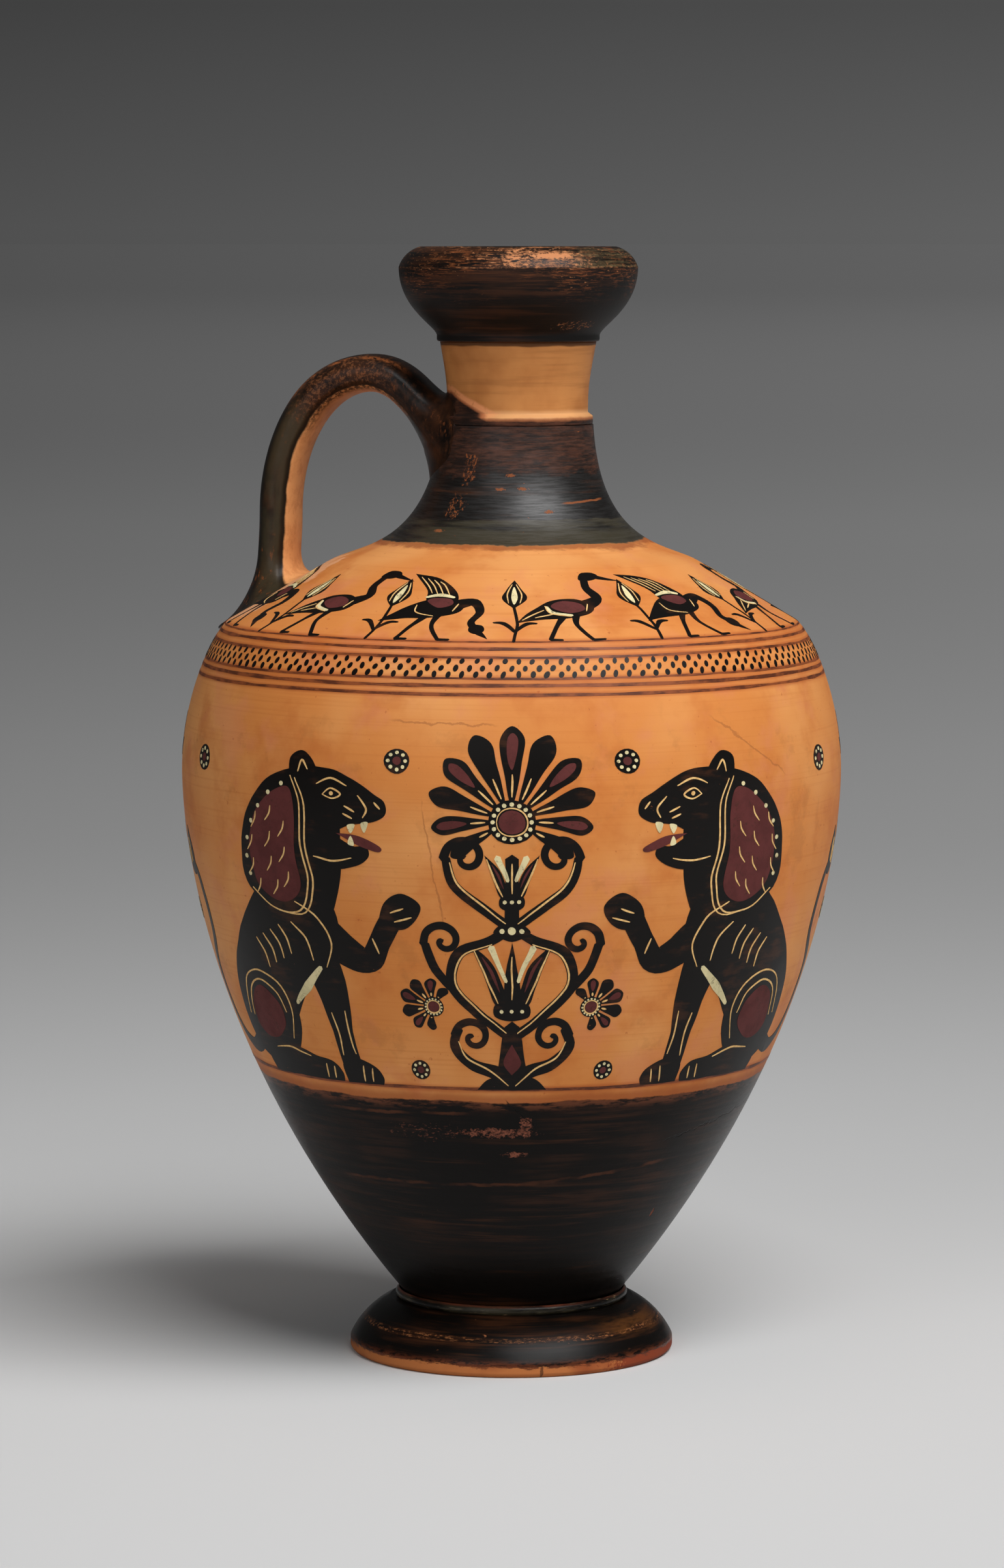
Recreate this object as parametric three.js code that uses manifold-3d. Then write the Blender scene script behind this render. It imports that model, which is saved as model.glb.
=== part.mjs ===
// An oil flask (a lekythos) as its potter built it: body, neck, mouth and foot are thrown
// one by one on the wheel, the strap handle is pulled, and slip lutes them together.
// Millimetres, +Z up. The origin is the centre of the resting face, and the handle is
// on the -X side, in the XZ plane.
import * as THREE from "three";
import { mergeVertices } from "three/addons/utils/BufferGeometryUtils.js";
import Module from "manifold-3d";

const wasm = await Module();
wasm.setup();

// Driving dimensions.
const turnSegments = 48; // facets round the wheel's axis
const slipThickness = 0.4; // the layer of slip between two luted pieces
const slipSetBack = 0.3; // slip stays this far inside the edges of a flat joint
const curvedJointGap = 0.25; // clearance on each side of the slip under the handle

const footRadius = 25.7;
const footEdgeHeight = 2.1; // upright reserved edge of the foot
const footEdgeBevel = 0.6;
const footHeight = 8.4; // resting face to the seat of the body
const footTopRadius = 19.3; // where the swelling top of the foot ends
const footSwell = 0.8; // how far the top bulges past a straight slope
const footRestWidth = 7.5; // flat ring that the flask stands on
const footHollowDepth = 3.2; // shallow cone turned out of the underside
const footHollowBevel = { width: 1.5, height: 1.8 }; // steeper rim of that cone
const footSlipRadius = 4.0; // hole in the middle of the slip on the foot

const beadHeight = 1.5; // bead of clay that hides the joint of foot and body
const beadWidth = 1.1;
const beadSwell = 0.45;
const beadGap = 0.3;

const baseRadius = 16.7; // underside of the body
const bellyHeight = 84.3; // from the base up to the widest ring
const bellyRadius = 52.1;
const baseLean = 39.6; // degrees from upright at which the lower wall starts
const lowerWallPull = 51.6; // how far the lower wall keeps that lean
const bellyPull = 9.0; // how far the wall stays upright under the widest ring
const shoulderRise = 23.4; // widest ring up to the shoulder's edge
const shoulderInset = 7.5; // the shoulder's edge lies this far inside the widest ring
const shoulderPull = 11.6; // how far the wall stays upright above the widest ring
const shoulderRound = 2.6; // how softly the edge turns into the slope
const shoulderSlope = 30.6; // degrees from level
const shoulderRun = 15.5; // straight part of the slope, measured in radius
const slopePull = 5.2; // how far the collar's curve keeps the slope
const collarHeight = 21.6; // end of the straight slope up to the collar's top
const collarTopRadius = 12.0;
const collarLean = 4.1; // degrees from upright at the top
const collarPull = 19.4; // how far the collar keeps that lean
const wall = 4.0;
const floorThickness = 6.0;
const boreRadius = 7.5; // through collar, neck and mouth
const throatHeight = 6.0; // straight bore below the collar's top

const neckHeight = 12.6;
const neckWaistRadius = 11.1;
const neckTopRadius = 12.3;
const neckFlare = 9.0; // height over which the neck widens under the mouth
const neckLipPull = { radius: 0.4, height: 2.4 }; // how the flare runs into its top
const ledgeHeight = 0.9; // small ledge round the neck's foot
const ledgeWidth = 0.8;
const ledgeSlope = 0.6;

const mouthHeight = 14.4;
const mouthFootRadius = 12.8; // overhangs the neck a little
const mouthFootHeight = 0.5;
const mouthRadius = 18.8;
const mouthCreaseHeight = 11.2; // widest ring of the mouth, above its foot
const mouthHollowPull = 1.4; // upright start of the mouth's curve
const mouthSwellPull = 6.6; // upright end of it, under the crease
const mouthTopRadius = 15.4;
const mouthBevelSwell = 0.6;
const rimEdge = 0.9; // flat top of the rim
const rimWidth = 3.1;
const rimDish = 0.5; // the rim falls this much inwards
const funnelDepth = 10.5;

const handleWidth = 10.8;
const handleThickness = 6.0;
const limbInset = 0.6; // the upright limb stands this far inside its own root
const handleArchRise = 7.9; // collar's top up to the middle of the arch
const handleArchRadius = 23.6; // where the arch is highest
const upperRootDrop = 0.8; // collar's top down to where the handle's middle meets the wall
const upperRootClimb = 46; // degrees from level at which the handle leaves the collar
const archPull = { root: 0.4, top: 0.45 }; // share of the way to the arch that each end keeps
const bendPull = { top: 0.6, limb: 0.5 }; // the same from the arch down to the limb
const lowerRootInset = 6.0; // where the handle stands, in from the shoulder's edge
const limbLength = 13; // upright stretch of the limb above its root
const upperRootFillet = { up: 3.2, down: 8.5 }; // clay drawn out over the wall round each root
const lowerRootFillet = { up: 4.0, down: 7.5 };
const rootDepth = 3.5; // how far the uncut handle runs past the surface it meets
const sectionPoints = 20;
const sectionSquareness = 2.35; // 2 is an ellipse
const handleRings = 44;
const rootRingShare = 0.7; // 0 spaces the rings evenly, 1 packs them at both roots

const outerWallSteps = 14; // steps of the body's lower wall
const innerWallSteps = 8;
const shoulderStepShare = 0.6; // steps of the shorter curves against that
const collarStepShare = 0.7;

// Heights of the stack, from the resting face up.
const baseZ = footHeight + slipThickness;
const bellyZ = baseZ + bellyHeight;
const shoulderZ = bellyZ + shoulderRise;
const shoulderEdgeRadius = bellyRadius - shoulderInset;
const slopeTan = Math.tan(THREE.MathUtils.degToRad(shoulderSlope));
const slopeEndRadius = shoulderEdgeRadius - shoulderRun;
const slopeEndZ = shoulderZ + shoulderRun * slopeTan;
const collarTopZ = slopeEndZ + collarHeight;
const neckZ = collarTopZ + slipThickness;
const neckTopZ = neckZ + neckHeight;
const mouthZ = neckTopZ + slipThickness;
const mouthTopZ = mouthZ + mouthHeight;
const handleSeatGap = slipThickness + 2 * curvedJointGap;
const lowerRootRadius = shoulderEdgeRadius - lowerRootInset;
const handleReach = lowerRootRadius - limbInset; // axis to the middle of the upright limb

// Points in a profile are (radius, height).
const at = (radius, height) => new THREE.Vector2(radius, height);

function leaning(from, degreesFromUpright, length) {
  const a = THREE.MathUtils.degToRad(degreesFromUpright);
  return at(from.x + length * Math.sin(a), from.y + length * Math.cos(a));
}

function curve(a, b, c, d, steps) {
  return new THREE.CubicBezierCurve(a, b, c, d).getPoints(steps);
}

// An arc from a to b that stands out by swell to the right of the way from a to b.
function arc(a, b, swell, steps) {
  const chord = b.clone().sub(a);
  const half = chord.length() / 2;
  const radius = (half * half + swell * swell) / (2 * swell);
  const out = at(chord.y, -chord.x).normalize();
  const centre = a.clone().add(b).multiplyScalar(0.5).addScaledVector(out, swell - radius);
  const start = Math.atan2(a.y - centre.y, a.x - centre.x);
  const turn = 2 * Math.asin(half / radius);
  return Array.from({ length: steps + 1 }, (_, i) => {
    const angle = start + (turn * i) / steps;
    return at(centre.x + radius * Math.cos(angle), centre.y + radius * Math.sin(angle));
  });
}

// Leaves out a point that repeats the one before it.
function joined(...stretches) {
  return stretches
    .flat()
    .filter((p, i, all) => i === 0 || p.distanceTo(all[i - 1]) > 1e-4);
}

// The same line moved to its right, which is outwards on a profile that climbs.
function moved(points, distance) {
  return points.map((p, i) => {
    const before = points[Math.max(0, i - 1)];
    const after = points[Math.min(points.length - 1, i + 1)];
    const along = after.clone().sub(before).normalize();
    return at(p.x + along.y * distance, p.y - along.x * distance);
  });
}

// Turns a closed profile, listed anticlockwise, round the Z axis.
function turned(points) {
  const geometry = new THREE.LatheGeometry([...points, points[0]], turnSegments);
  geometry.rotateX(Math.PI / 2);
  return geometry;
}

function solidOf(geometry) {
  const bare = geometry.clone();
  bare.deleteAttribute("normal");
  bare.deleteAttribute("uv");
  const merged = mergeVertices(bare, 1e-3);
  return new wasm.Manifold(
    new wasm.Mesh({
      numProp: 3,
      vertProperties: new Float32Array(merged.attributes.position.array),
      triVerts: new Uint32Array(merged.index.array),
    }),
  );
}

function geometryOf(solid) {
  const mesh = solid.getMesh();
  const geometry = new THREE.BufferGeometry();
  geometry.setAttribute("position", new THREE.BufferAttribute(mesh.vertProperties, 3));
  geometry.setIndex(new THREE.BufferAttribute(mesh.triVerts, 1));
  geometry.computeVertexNormals();
  return geometry;
}

// The foot: upright edge, swelling top, level seat, and a hollow underside.
function footProfile() {
  const innerRest = footRadius - footRestWidth;
  const swell = arc(at(footRadius, footEdgeHeight), at(footTopRadius, footHeight), footSwell, 9);
  return joined(
    [at(0, footHollowDepth), at(innerRest - footHollowBevel.width, footHollowBevel.height)],
    [at(innerRest, 0)],
    [at(footRadius - footEdgeBevel, 0), at(footRadius, footEdgeBevel)],
    swell,
    [at(0, footHeight)],
  );
}

// The outer wall of the body from its base up to the top of the collar. More steps make a
// smoother wall.
function bodyWall(steps) {
  const base = at(baseRadius, baseZ);
  const belly = at(bellyRadius, bellyZ);
  const edge = at(shoulderEdgeRadius, shoulderZ);
  const slopeEnd = at(slopeEndRadius, slopeEndZ);
  const top = at(collarTopRadius, collarTopZ);
  const upSlope = shoulderSlope - 90;
  return joined(
    curve(
      base, leaning(base, baseLean, lowerWallPull), at(belly.x, belly.y - bellyPull), belly, steps,
    ),
    curve(
      belly, at(belly.x, belly.y + shoulderPull), leaning(edge, upSlope, -shoulderRound), edge,
      Math.round(steps * shoulderStepShare),
    ),
    curve(
      slopeEnd, leaning(slopeEnd, upSlope, slopePull), leaning(top, -collarLean, -collarPull), top,
      Math.round(steps * collarStepShare),
    ),
  );
}

// The body: its outer wall and, a wall's thickness inside, a coarser copy of the same line. That
// ends at the bore and at the floor, which is as wide as the base.
function bodyProfile() {
  const floorZ = baseZ + floorThickness;
  const throatZ = collarTopZ - throatHeight;
  const inner = moved(bodyWall(innerWallSteps), -wall).filter(
    (p) => p.y > floorZ + wall / 2 && p.x > boreRadius && p.y < throatZ - 1,
  );
  return joined(
    bodyWall(outerWallSteps),
    [at(boreRadius, collarTopZ), at(boreRadius, throatZ)],
    inner.reverse(),
    [at(baseRadius, floorZ), at(0, floorZ), at(0, baseZ)],
  );
}

// A bead round the joint of foot and body, its inner side clear of the body's lean.
function beadProfile() {
  const lean = Math.tan(THREE.MathUtils.degToRad(baseLean));
  const low = at(baseRadius + beadGap, footHeight);
  const high = at(low.x + (beadHeight - slipThickness) * lean, footHeight + beadHeight);
  const outer = arc(at(low.x + beadWidth, footHeight), high, beadSwell, 4);
  return joined([low], outer);
}

// The flare of the neck under the mouth, and with its ledge the whole outer wall of the neck.
function neckFlareLine() {
  const waist = at(neckWaistRadius, neckTopZ - neckFlare);
  const top = at(neckTopRadius, neckTopZ);
  const lip = at(top.x - neckLipPull.radius, top.y - neckLipPull.height);
  return curve(waist, at(waist.x, waist.y + neckFlare / 3), lip, top, 6);
}

function neckWall() {
  const ledge = at(neckWaistRadius + ledgeWidth, neckZ + ledgeHeight);
  const ledgeLine = [at(ledge.x, neckZ), ledge, at(neckWaistRadius, ledge.y + ledgeSlope)];
  return joined(ledgeLine, neckFlareLine());
}

function neckProfile() {
  return joined(neckWall(), [at(boreRadius, neckTopZ), at(boreRadius, neckZ)]);
}

// The mouth: a hollow curve that swells to a crease, a bevel above it, a dished rim and a funnel.
function mouthProfile() {
  const foot = at(mouthFootRadius, mouthZ + mouthFootHeight);
  const crease = at(mouthRadius, mouthZ + mouthCreaseHeight);
  const rimOuter = at(mouthTopRadius, mouthTopZ);
  const rimInner = at(mouthTopRadius - rimWidth, mouthTopZ - rimDish);
  const throat = at(boreRadius, mouthTopZ - funnelDepth);
  return joined(
    [at(mouthFootRadius, mouthZ)],
    curve(
      foot, at(foot.x, foot.y + mouthHollowPull), at(crease.x, crease.y - mouthSwellPull), crease, 9,
    ),
    arc(crease, rimOuter, mouthBevelSwell, 4),
    [at(mouthTopRadius - rimEdge, mouthTopZ)],
    curve(
      rimInner, at(rimInner.x, rimInner.y - funnelDepth / 2), at(throat.x, throat.y + funnelDepth / 3),
      throat, 7,
    ),
    [at(boreRadius, mouthZ)],
  );
}

// A flat ring of slip between two thrown pieces.
function slipProfile(innerRadius, outerRadius, low) {
  const inner = innerRadius + slipSetBack;
  const outer = outerRadius - slipSetBack;
  const high = low + slipThickness;
  return [at(inner, low), at(outer, low), at(outer, high), at(inner, high)];
}

// The middle line of the handle: out of the collar, over the arch, and down to the shoulder.
function handleLine() {
  const climb = THREE.MathUtils.degToRad(upperRootClimb);
  const leave = at(Math.cos(climb), Math.sin(climb));
  const root = at(collarTopRadius, collarTopZ - upperRootDrop);
  const arch = at(handleArchRadius, collarTopZ + handleArchRise);
  const standZ = shoulderZ + (shoulderEdgeRadius - lowerRootRadius) * slopeTan;
  const limb = at(handleReach, standZ + limbLength);
  const inside = root.clone().addScaledVector(leave, -rootDepth);
  const archRun = arch.x - root.x;
  const bendRun = limb.x - arch.x;
  const bendDrop = arch.y - limb.y;
  const points = joined(
    [inside],
    curve(
      root, root.clone().addScaledVector(leave, archRun * archPull.root),
      at(arch.x - archRun * archPull.top, arch.y), arch, 8,
    ),
    curve(
      arch, at(arch.x + bendRun * bendPull.top, arch.y),
      at(limb.x, limb.y + bendDrop * bendPull.limb), limb, 8,
    ),
    curve(
      limb, at(limb.x, limb.y - limbLength / 3), at(lowerRootRadius, standZ + limbLength / 3),
      at(lowerRootRadius, standZ), 4,
    ),
    [at(lowerRootRadius, standZ - rootDepth)],
  );
  const inSpace = points.map((p) => new THREE.Vector3(-p.x, 0, p.y));
  return new THREE.CatmullRomCurve3(inSpace, false, "centripetal");
}

// Where a wall comes nearest to a point of its profile plane: how far the point stands off it,
// less than 0 if it is inside, and the wall's direction there.
function nearestOnWall(wallLine, p) {
  let best = { gap: Infinity };
  for (let i = 1; i < wallLine.length; i++) {
    const a = wallLine[i - 1];
    const along = wallLine[i].clone().sub(a);
    const t = THREE.MathUtils.clamp(p.clone().sub(a).dot(along) / along.lengthSq(), 0, 1);
    const off = p.clone().sub(a.clone().addScaledVector(along, t));
    if (off.length() < Math.abs(best.gap)) {
      const outside = off.x * along.y - off.y * along.x > 0;
      best = { gap: outside ? off.length() : -off.length(), along: along.normalize() };
    }
  }
  return best;
}

// Draws a point of the handle's skin out over the wall where it comes near it, in a round fillet.
// The push follows the wall, up and down as well as round it, and stays as it is below the seat.
function drawnOut(p, middle, wallLine, fillet) {
  const radius = Math.hypot(p.x, p.y);
  const nearest = nearestOnWall(wallLine, at(radius, p.z));
  const along = nearest.along;
  const round = p.y;
  const up = along.x * (radius - Math.abs(middle.x)) + along.y * (p.z - middle.z);
  const reach = Math.hypot(round, up);
  const curl = THREE.MathUtils.lerp(fillet.down, fillet.up, (1 + up / reach) / 2);
  const gap = THREE.MathUtils.clamp(nearest.gap, handleSeatGap, curl);
  const push = curl - Math.sqrt(curl ** 2 - (curl - gap) ** 2);
  const newRadius = radius + (push * up * along.x) / reach;
  const angle = Math.atan2(p.y, -p.x) + (push * round) / reach / radius;
  return new THREE.Vector3(
    -newRadius * Math.cos(angle), newRadius * Math.sin(angle), p.z + (push * up * along.y) / reach,
  );
}

// The handle before it is cut to the flask: an oval strap with a fillet at each root.
function handleStrap() {
  const line = handleLine();
  const wallLine = joined(bodyWall(outerWallSteps), neckFlareLine());
  const positions = [];
  const across = new THREE.Vector3(0, 1, 0);
  const rounded = (v) => Math.sign(v) * Math.abs(v) ** (2 / sectionSquareness);
  for (let ring = 0; ring < handleRings; ring++) {
    const t = ring / (handleRings - 1);
    const u = t - (rootRingShare * Math.sin(2 * Math.PI * t)) / (2 * Math.PI);
    const middle = line.getPointAt(u);
    const outwards = line.getTangentAt(u).cross(across).normalize();
    for (let k = 0; k < sectionPoints; k++) {
      const angle = (2 * Math.PI * k) / sectionPoints;
      const p = middle
        .clone()
        .addScaledVector(across, (handleWidth / 2) * rounded(Math.cos(angle)))
        .addScaledVector(outwards, (handleThickness / 2) * rounded(Math.sin(angle)));
      const skin = drawnOut(p, middle, wallLine, u < 0.5 ? upperRootFillet : lowerRootFillet);
      positions.push(skin.x, skin.y, skin.z);
    }
  }
  return lofted(positions, handleRings, sectionPoints);
}

// Skins rings of points into one closed body with a fan of triangles on each end.
function lofted(positions, rings, around) {
  const faces = [];
  for (let ring = 0; ring < rings - 1; ring++) {
    for (let k = 0; k < around; k++) {
      const a = ring * around + k;
      const b = ring * around + ((k + 1) % around);
      faces.push(a, b, a + around, b, b + around, a + around);
    }
  }
  const last = (rings - 1) * around;
  for (let k = 1; k < around - 1; k++) {
    faces.push(0, k + 1, k, last, last + k, last + k + 1);
  }
  const geometry = new THREE.BufferGeometry();
  geometry.setAttribute("position", new THREE.Float32BufferAttribute(positions, 3));
  geometry.setIndex(faces);
  return geometry;
}

// Everything inside the outer walls of body and neck, grown by a distance.
function flaskGrownBy(distance) {
  const outer = moved(joined(bodyWall(outerWallSteps), neckWall()), distance);
  return solidOf(turned([...outer, at(0, outer[outer.length - 1].y), at(0, outer[0].y)]));
}

const materials = {
  gloss: { color: 0x1a1512, roughness: 0.36 },
  clay: { color: 0xc0703a, roughness: 0.62 },
  slip: { color: 0xa65f38, roughness: 0.85 },
};

const flask = new THREE.Group();

function add(name, geometry, look) {
  const material = new THREE.MeshStandardMaterial({ ...materials[look], metalness: 0 });
  const mesh = new THREE.Mesh(geometry, material);
  mesh.name = name;
  flask.add(mesh);
}

add("foot", turned(footProfile()), "gloss");
add("foot_bead", turned(beadProfile()), "gloss");
add("slip_foot_to_body", turned(slipProfile(footSlipRadius, baseRadius, footHeight)), "slip");
add("body", turned(bodyProfile()), "clay");
add("slip_body_to_neck", turned(slipProfile(boreRadius, collarTopRadius, collarTopZ)), "slip");
add("neck", turned(neckProfile()), "clay");
add("slip_neck_to_mouth", turned(slipProfile(boreRadius, neckTopRadius, neckTopZ)), "slip");
add("mouth", turned(mouthProfile()), "gloss");

// The handle is cut to the flask, and a pad of slip fills each of its two roots.
const strap = solidOf(handleStrap());
const padLayer = flaskGrownBy(curvedJointGap + slipThickness).subtract(flaskGrownBy(curvedJointGap));
const [upperPad, lowerPad] = strap
  .intersect(padLayer)
  .decompose()
  .sort((a, b) => b.volume() - a.volume())
  .slice(0, 2)
  .sort((a, b) => b.boundingBox().max[2] - a.boundingBox().max[2]);
add("handle", geometryOf(strap.subtract(flaskGrownBy(handleSeatGap))), "gloss");
add("slip_handle_to_neck", geometryOf(upperPad), "slip");
add("slip_handle_to_shoulder", geometryOf(lowerPad), "slip");

export default flask;
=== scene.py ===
"""An oil flask of fired clay, thrown on the wheel, with black gloss and a painted animal frieze."""
import bisect
import math
import random

import bpy

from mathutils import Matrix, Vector, noise
from mathutils.geometry import delaunay_2d_cdt

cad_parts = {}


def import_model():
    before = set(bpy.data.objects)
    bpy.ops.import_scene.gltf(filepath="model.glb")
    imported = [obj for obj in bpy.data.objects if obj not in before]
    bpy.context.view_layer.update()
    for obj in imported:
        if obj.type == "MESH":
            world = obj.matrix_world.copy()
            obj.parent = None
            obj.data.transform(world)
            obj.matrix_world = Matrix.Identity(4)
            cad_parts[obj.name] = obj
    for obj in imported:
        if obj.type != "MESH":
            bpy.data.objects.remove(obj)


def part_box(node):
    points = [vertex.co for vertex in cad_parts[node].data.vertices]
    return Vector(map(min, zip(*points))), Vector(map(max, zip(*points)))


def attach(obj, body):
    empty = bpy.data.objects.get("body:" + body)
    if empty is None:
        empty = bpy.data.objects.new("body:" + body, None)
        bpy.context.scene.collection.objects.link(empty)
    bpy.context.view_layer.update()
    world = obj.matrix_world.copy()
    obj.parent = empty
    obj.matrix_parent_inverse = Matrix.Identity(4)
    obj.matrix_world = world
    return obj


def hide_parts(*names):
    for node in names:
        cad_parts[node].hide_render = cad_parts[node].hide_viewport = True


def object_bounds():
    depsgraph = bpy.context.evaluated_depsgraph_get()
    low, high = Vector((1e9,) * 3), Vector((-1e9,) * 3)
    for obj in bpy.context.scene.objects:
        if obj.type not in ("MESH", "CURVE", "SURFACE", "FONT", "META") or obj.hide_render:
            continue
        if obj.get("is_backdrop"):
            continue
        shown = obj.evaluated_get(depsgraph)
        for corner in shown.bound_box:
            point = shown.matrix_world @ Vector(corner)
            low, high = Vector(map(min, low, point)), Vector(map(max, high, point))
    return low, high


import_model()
cad_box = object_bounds()

MM = 0.001  # everything below is in millimetres until it goes into a mesh

# the camera, fitted to the photograph
VIEW_TURN = 15.0  # degrees round from the front, so that the handle turns away a little
VIEW_DISTANCE = 880.0
VIEW_HEIGHT = 178.0
VIEW_PITCH = 5.69
VIEW_SIDESTEP = -1.5
LENS = 128.2

# the outline, as in the solids; heights of the pieces come from the frame
FOOT_RADIUS = 25.7
FOOT_EDGE_HEIGHT = 2.1
FOOT_EDGE_BEVEL = 0.6
FOOT_TOP_RADIUS = 19.3
FOOT_SWELL = 0.8
FOOT_REST_WIDTH = 7.5
FOOT_HOLLOW_DEPTH = 3.2
FOOT_HOLLOW_BEVEL = (1.5, 1.8)
BEAD_HEIGHT = 1.5
BEAD_WIDTH = 1.1
BEAD_SWELL = 0.45
BEAD_SINK = 0.05
BEAD_LAP = 0.3  # how far it lies out on the foot
BASE_RADIUS = 16.7
BELLY_HEIGHT = 84.3
BELLY_RADIUS = 52.1
BASE_LEAN = 39.6
LOWER_WALL_PULL = 51.6
BELLY_PULL = 9.0
SHOULDER_RISE = 23.4
SHOULDER_INSET = 7.5
SHOULDER_PULL = 11.6
SHOULDER_ROUND = 2.6
SHOULDER_SLOPE = 30.6
SHOULDER_RUN = 15.5
SLOPE_PULL = 5.2
COLLAR_TOP_RADIUS = 12.0
COLLAR_LEAN = 4.1
COLLAR_PULL = 19.4
WALL = 4.0
FLOOR_THICKNESS = 6.0
BORE_RADIUS = 7.5
THROAT_HEIGHT = 6.0
NECK_WAIST_RADIUS = 11.1
NECK_TOP_RADIUS = 12.3
NECK_FLARE = 9.0
NECK_LIP_PULL = (0.4, 2.4)
LEDGE_HEIGHT = 0.9
LEDGE_WIDTH = 0.8
LEDGE_SLOPE = 0.6
MOUTH_FOOT_RADIUS = 12.8
MOUTH_FOOT_HEIGHT = 0.5
MOUTH_RADIUS = 18.8
MOUTH_CREASE_HEIGHT = 11.2
MOUTH_HOLLOW_PULL = 1.4
MOUTH_SWELL_PULL = 6.6
MOUTH_TOP_RADIUS = 15.4
MOUTH_BEVEL_SWELL = 0.6
RIM_EDGE = 0.9
RIM_WIDTH = 3.1
RIM_DISH = 0.5
FUNNEL_DEPTH = 10.5
HANDLE_WIDTH = 10.8
HANDLE_THICKNESS = 6.0
ARCH_RISE = 7.9
ARCH_RADIUS = 23.6
UPPER_ROOT_DROP = 0.8
UPPER_ROOT_CLIMB = 46.0
ARCH_PULL = (0.4, 0.45)
BEND_PULL = (0.6, 0.5)
LOWER_ROOT_INSET = 6.0
LIMB_INSET = 0.6
LIMB_LENGTH = 13.0
UPPER_FILLET = (3.2, 7.3)
LOWER_FILLET = (4.0, 7.5)
ROOT_DEPTH = 3.5
SECTION_SQUARENESS = 2.35

# edges softer than in the solids
FOOT_ROUND = 0.5
NECK_ROUND = 0.3
MOUTH_ROUND = 0.45
SHARP_TURN = math.radians(20)  # corners flatter than this stay as they are
AXIS = 0.01  # a radius below this is on the axis

foot_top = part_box("foot")[1].z / MM
body_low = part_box("body")[0].z / MM
collar_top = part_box("body")[1].z / MM
neck_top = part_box("neck")[1].z / MM
mouth_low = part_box("mouth")[0].z / MM
mouth_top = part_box("mouth")[1].z / MM
neck_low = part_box("neck")[0].z / MM
shoulder_radius = BELLY_RADIUS - SHOULDER_INSET
belly_z = body_low + BELLY_HEIGHT
shoulder_z = belly_z + SHOULDER_RISE
slope_tan = math.tan(math.radians(SHOULDER_SLOPE))
slope_end = (shoulder_radius - SHOULDER_RUN, shoulder_z + SHOULDER_RUN * slope_tan)

# The real flask was thrown a little askew: its neck and mouth stand off the axis, away from the
# handle. This moves the neck's end of the handle too, and dies away along its arch.
NECK_SHIFT = 1.1
SHIFT_HEIGHTS = (95.0, 165.0)
SHIFT_ARCH = (-36.0, -19.0)

# heights where the paint begins or ends
LOWER_BLACK_TOP = 45.5
COLLAR_PAINT_LOW = 129.2
COLLAR_BLACK_LOW = 132.7
COLLAR_BROWN_LOW = 139.6
LEDGE_PAINT = 148.05  # the collar's black reaches up over the ledge's foot
WEB_TOP = 152.2  # and under the handle's root up the neck, falling away to both sides
WEB_FALL = (155.3, 0.43)

# places on the body's wall, as distances up it from its base
FRIEZE_GROUND = 46.13
FRIEZE_RADIUS = 48.5
LINES = (  # distance, width
    (FRIEZE_GROUND, 0.55), (108.9, 0.48), (110.25, 0.52), (111.36, 0.36),
    (114.91, 0.40), (116.36, 0.48), (117.65, 0.28),
)
FILLING = (  # rosettes on both sides: degrees from the front, height, radius
    (19.5, 52.5, 1.9), (19.0, 3.2, 1.7), (66.0, 50.5, 2.0),
    (84.0, 25.0, 1.8), (103.0, 8.0, 1.8), (131.0, 44.0, 2.1),
)
SHOULDER_GROUND = 117.75
SHOULDER_FIGURES = 12
SHOULDER_SCALE = 1.06
HANDLE_ROOT_REACH = 17  # degrees kept free on both sides of the handle
DOT_ROWS = (112.05, 113.10, 114.22)
DOT_SPACING = 2.12
DOT_SIZE = (0.39, 0.52)

TURN_STEPS = 192  # facets round the wheel's axis
STRAP_LINES = 48  # lines along the handle's skin
STRAP_RINGS = 110
RING_CROWDING = 0.8  # closer rings at both roots
ROOT_SINK = 0.3  # how far the skin's ends lie inside the wall
UPPER_END = (0.0, 0.3)  # shares of the handle's length between which each end lies
LOWER_END = (0.75, 1.0)
END_TRIES = 30
FRONT = math.radians(VIEW_TURN - 90)  # the side that faces the camera, as an angle round the axis
HANDLE_SIDE = -90 - VIEW_TURN  # the handle, in degrees from the front


# profiles: points are (radius, height)


def between(a, b, t):
    return (a[0] + (b[0] - a[0]) * t, a[1] + (b[1] - a[1]) * t)


def leaning(p, degrees, length):
    a = math.radians(degrees)
    return (p[0] + length * math.sin(a), p[1] + length * math.cos(a))


def curve(a, b, c, d, steps):
    out = []
    for i in range(steps + 1):
        t = i / steps
        s = 1 - t
        weights = (s**3, 3 * s * s * t, 3 * s * t * t, t**3)
        out.append(tuple(sum(w * p[n] for w, p in zip(weights, (a, b, c, d))) for n in (0, 1)))
    return out


def arc(a, b, swell, steps):
    """An arc from a to b that stands out by swell to the right of the way from a to b."""
    dx, dy = b[0] - a[0], b[1] - a[1]
    half = math.hypot(dx, dy) / 2
    radius = (half * half + swell * swell) / (2 * swell)
    out = (dy / (2 * half), -dx / (2 * half))
    cx = (a[0] + b[0]) / 2 + out[0] * (swell - radius)
    cy = (a[1] + b[1]) / 2 + out[1] * (swell - radius)
    start = math.atan2(a[1] - cy, a[0] - cx)
    turn = 2 * math.asin(half / radius)
    angles = [start + turn * i / steps for i in range(steps + 1)]
    return [(cx + radius * math.cos(t), cy + radius * math.sin(t)) for t in angles]


def joined(*stretches):
    out = []
    for p in (p for stretch in stretches for p in stretch):
        if not out or math.dist(p, out[-1]) > 1e-4:
            out.append(p)
    return out


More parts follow.
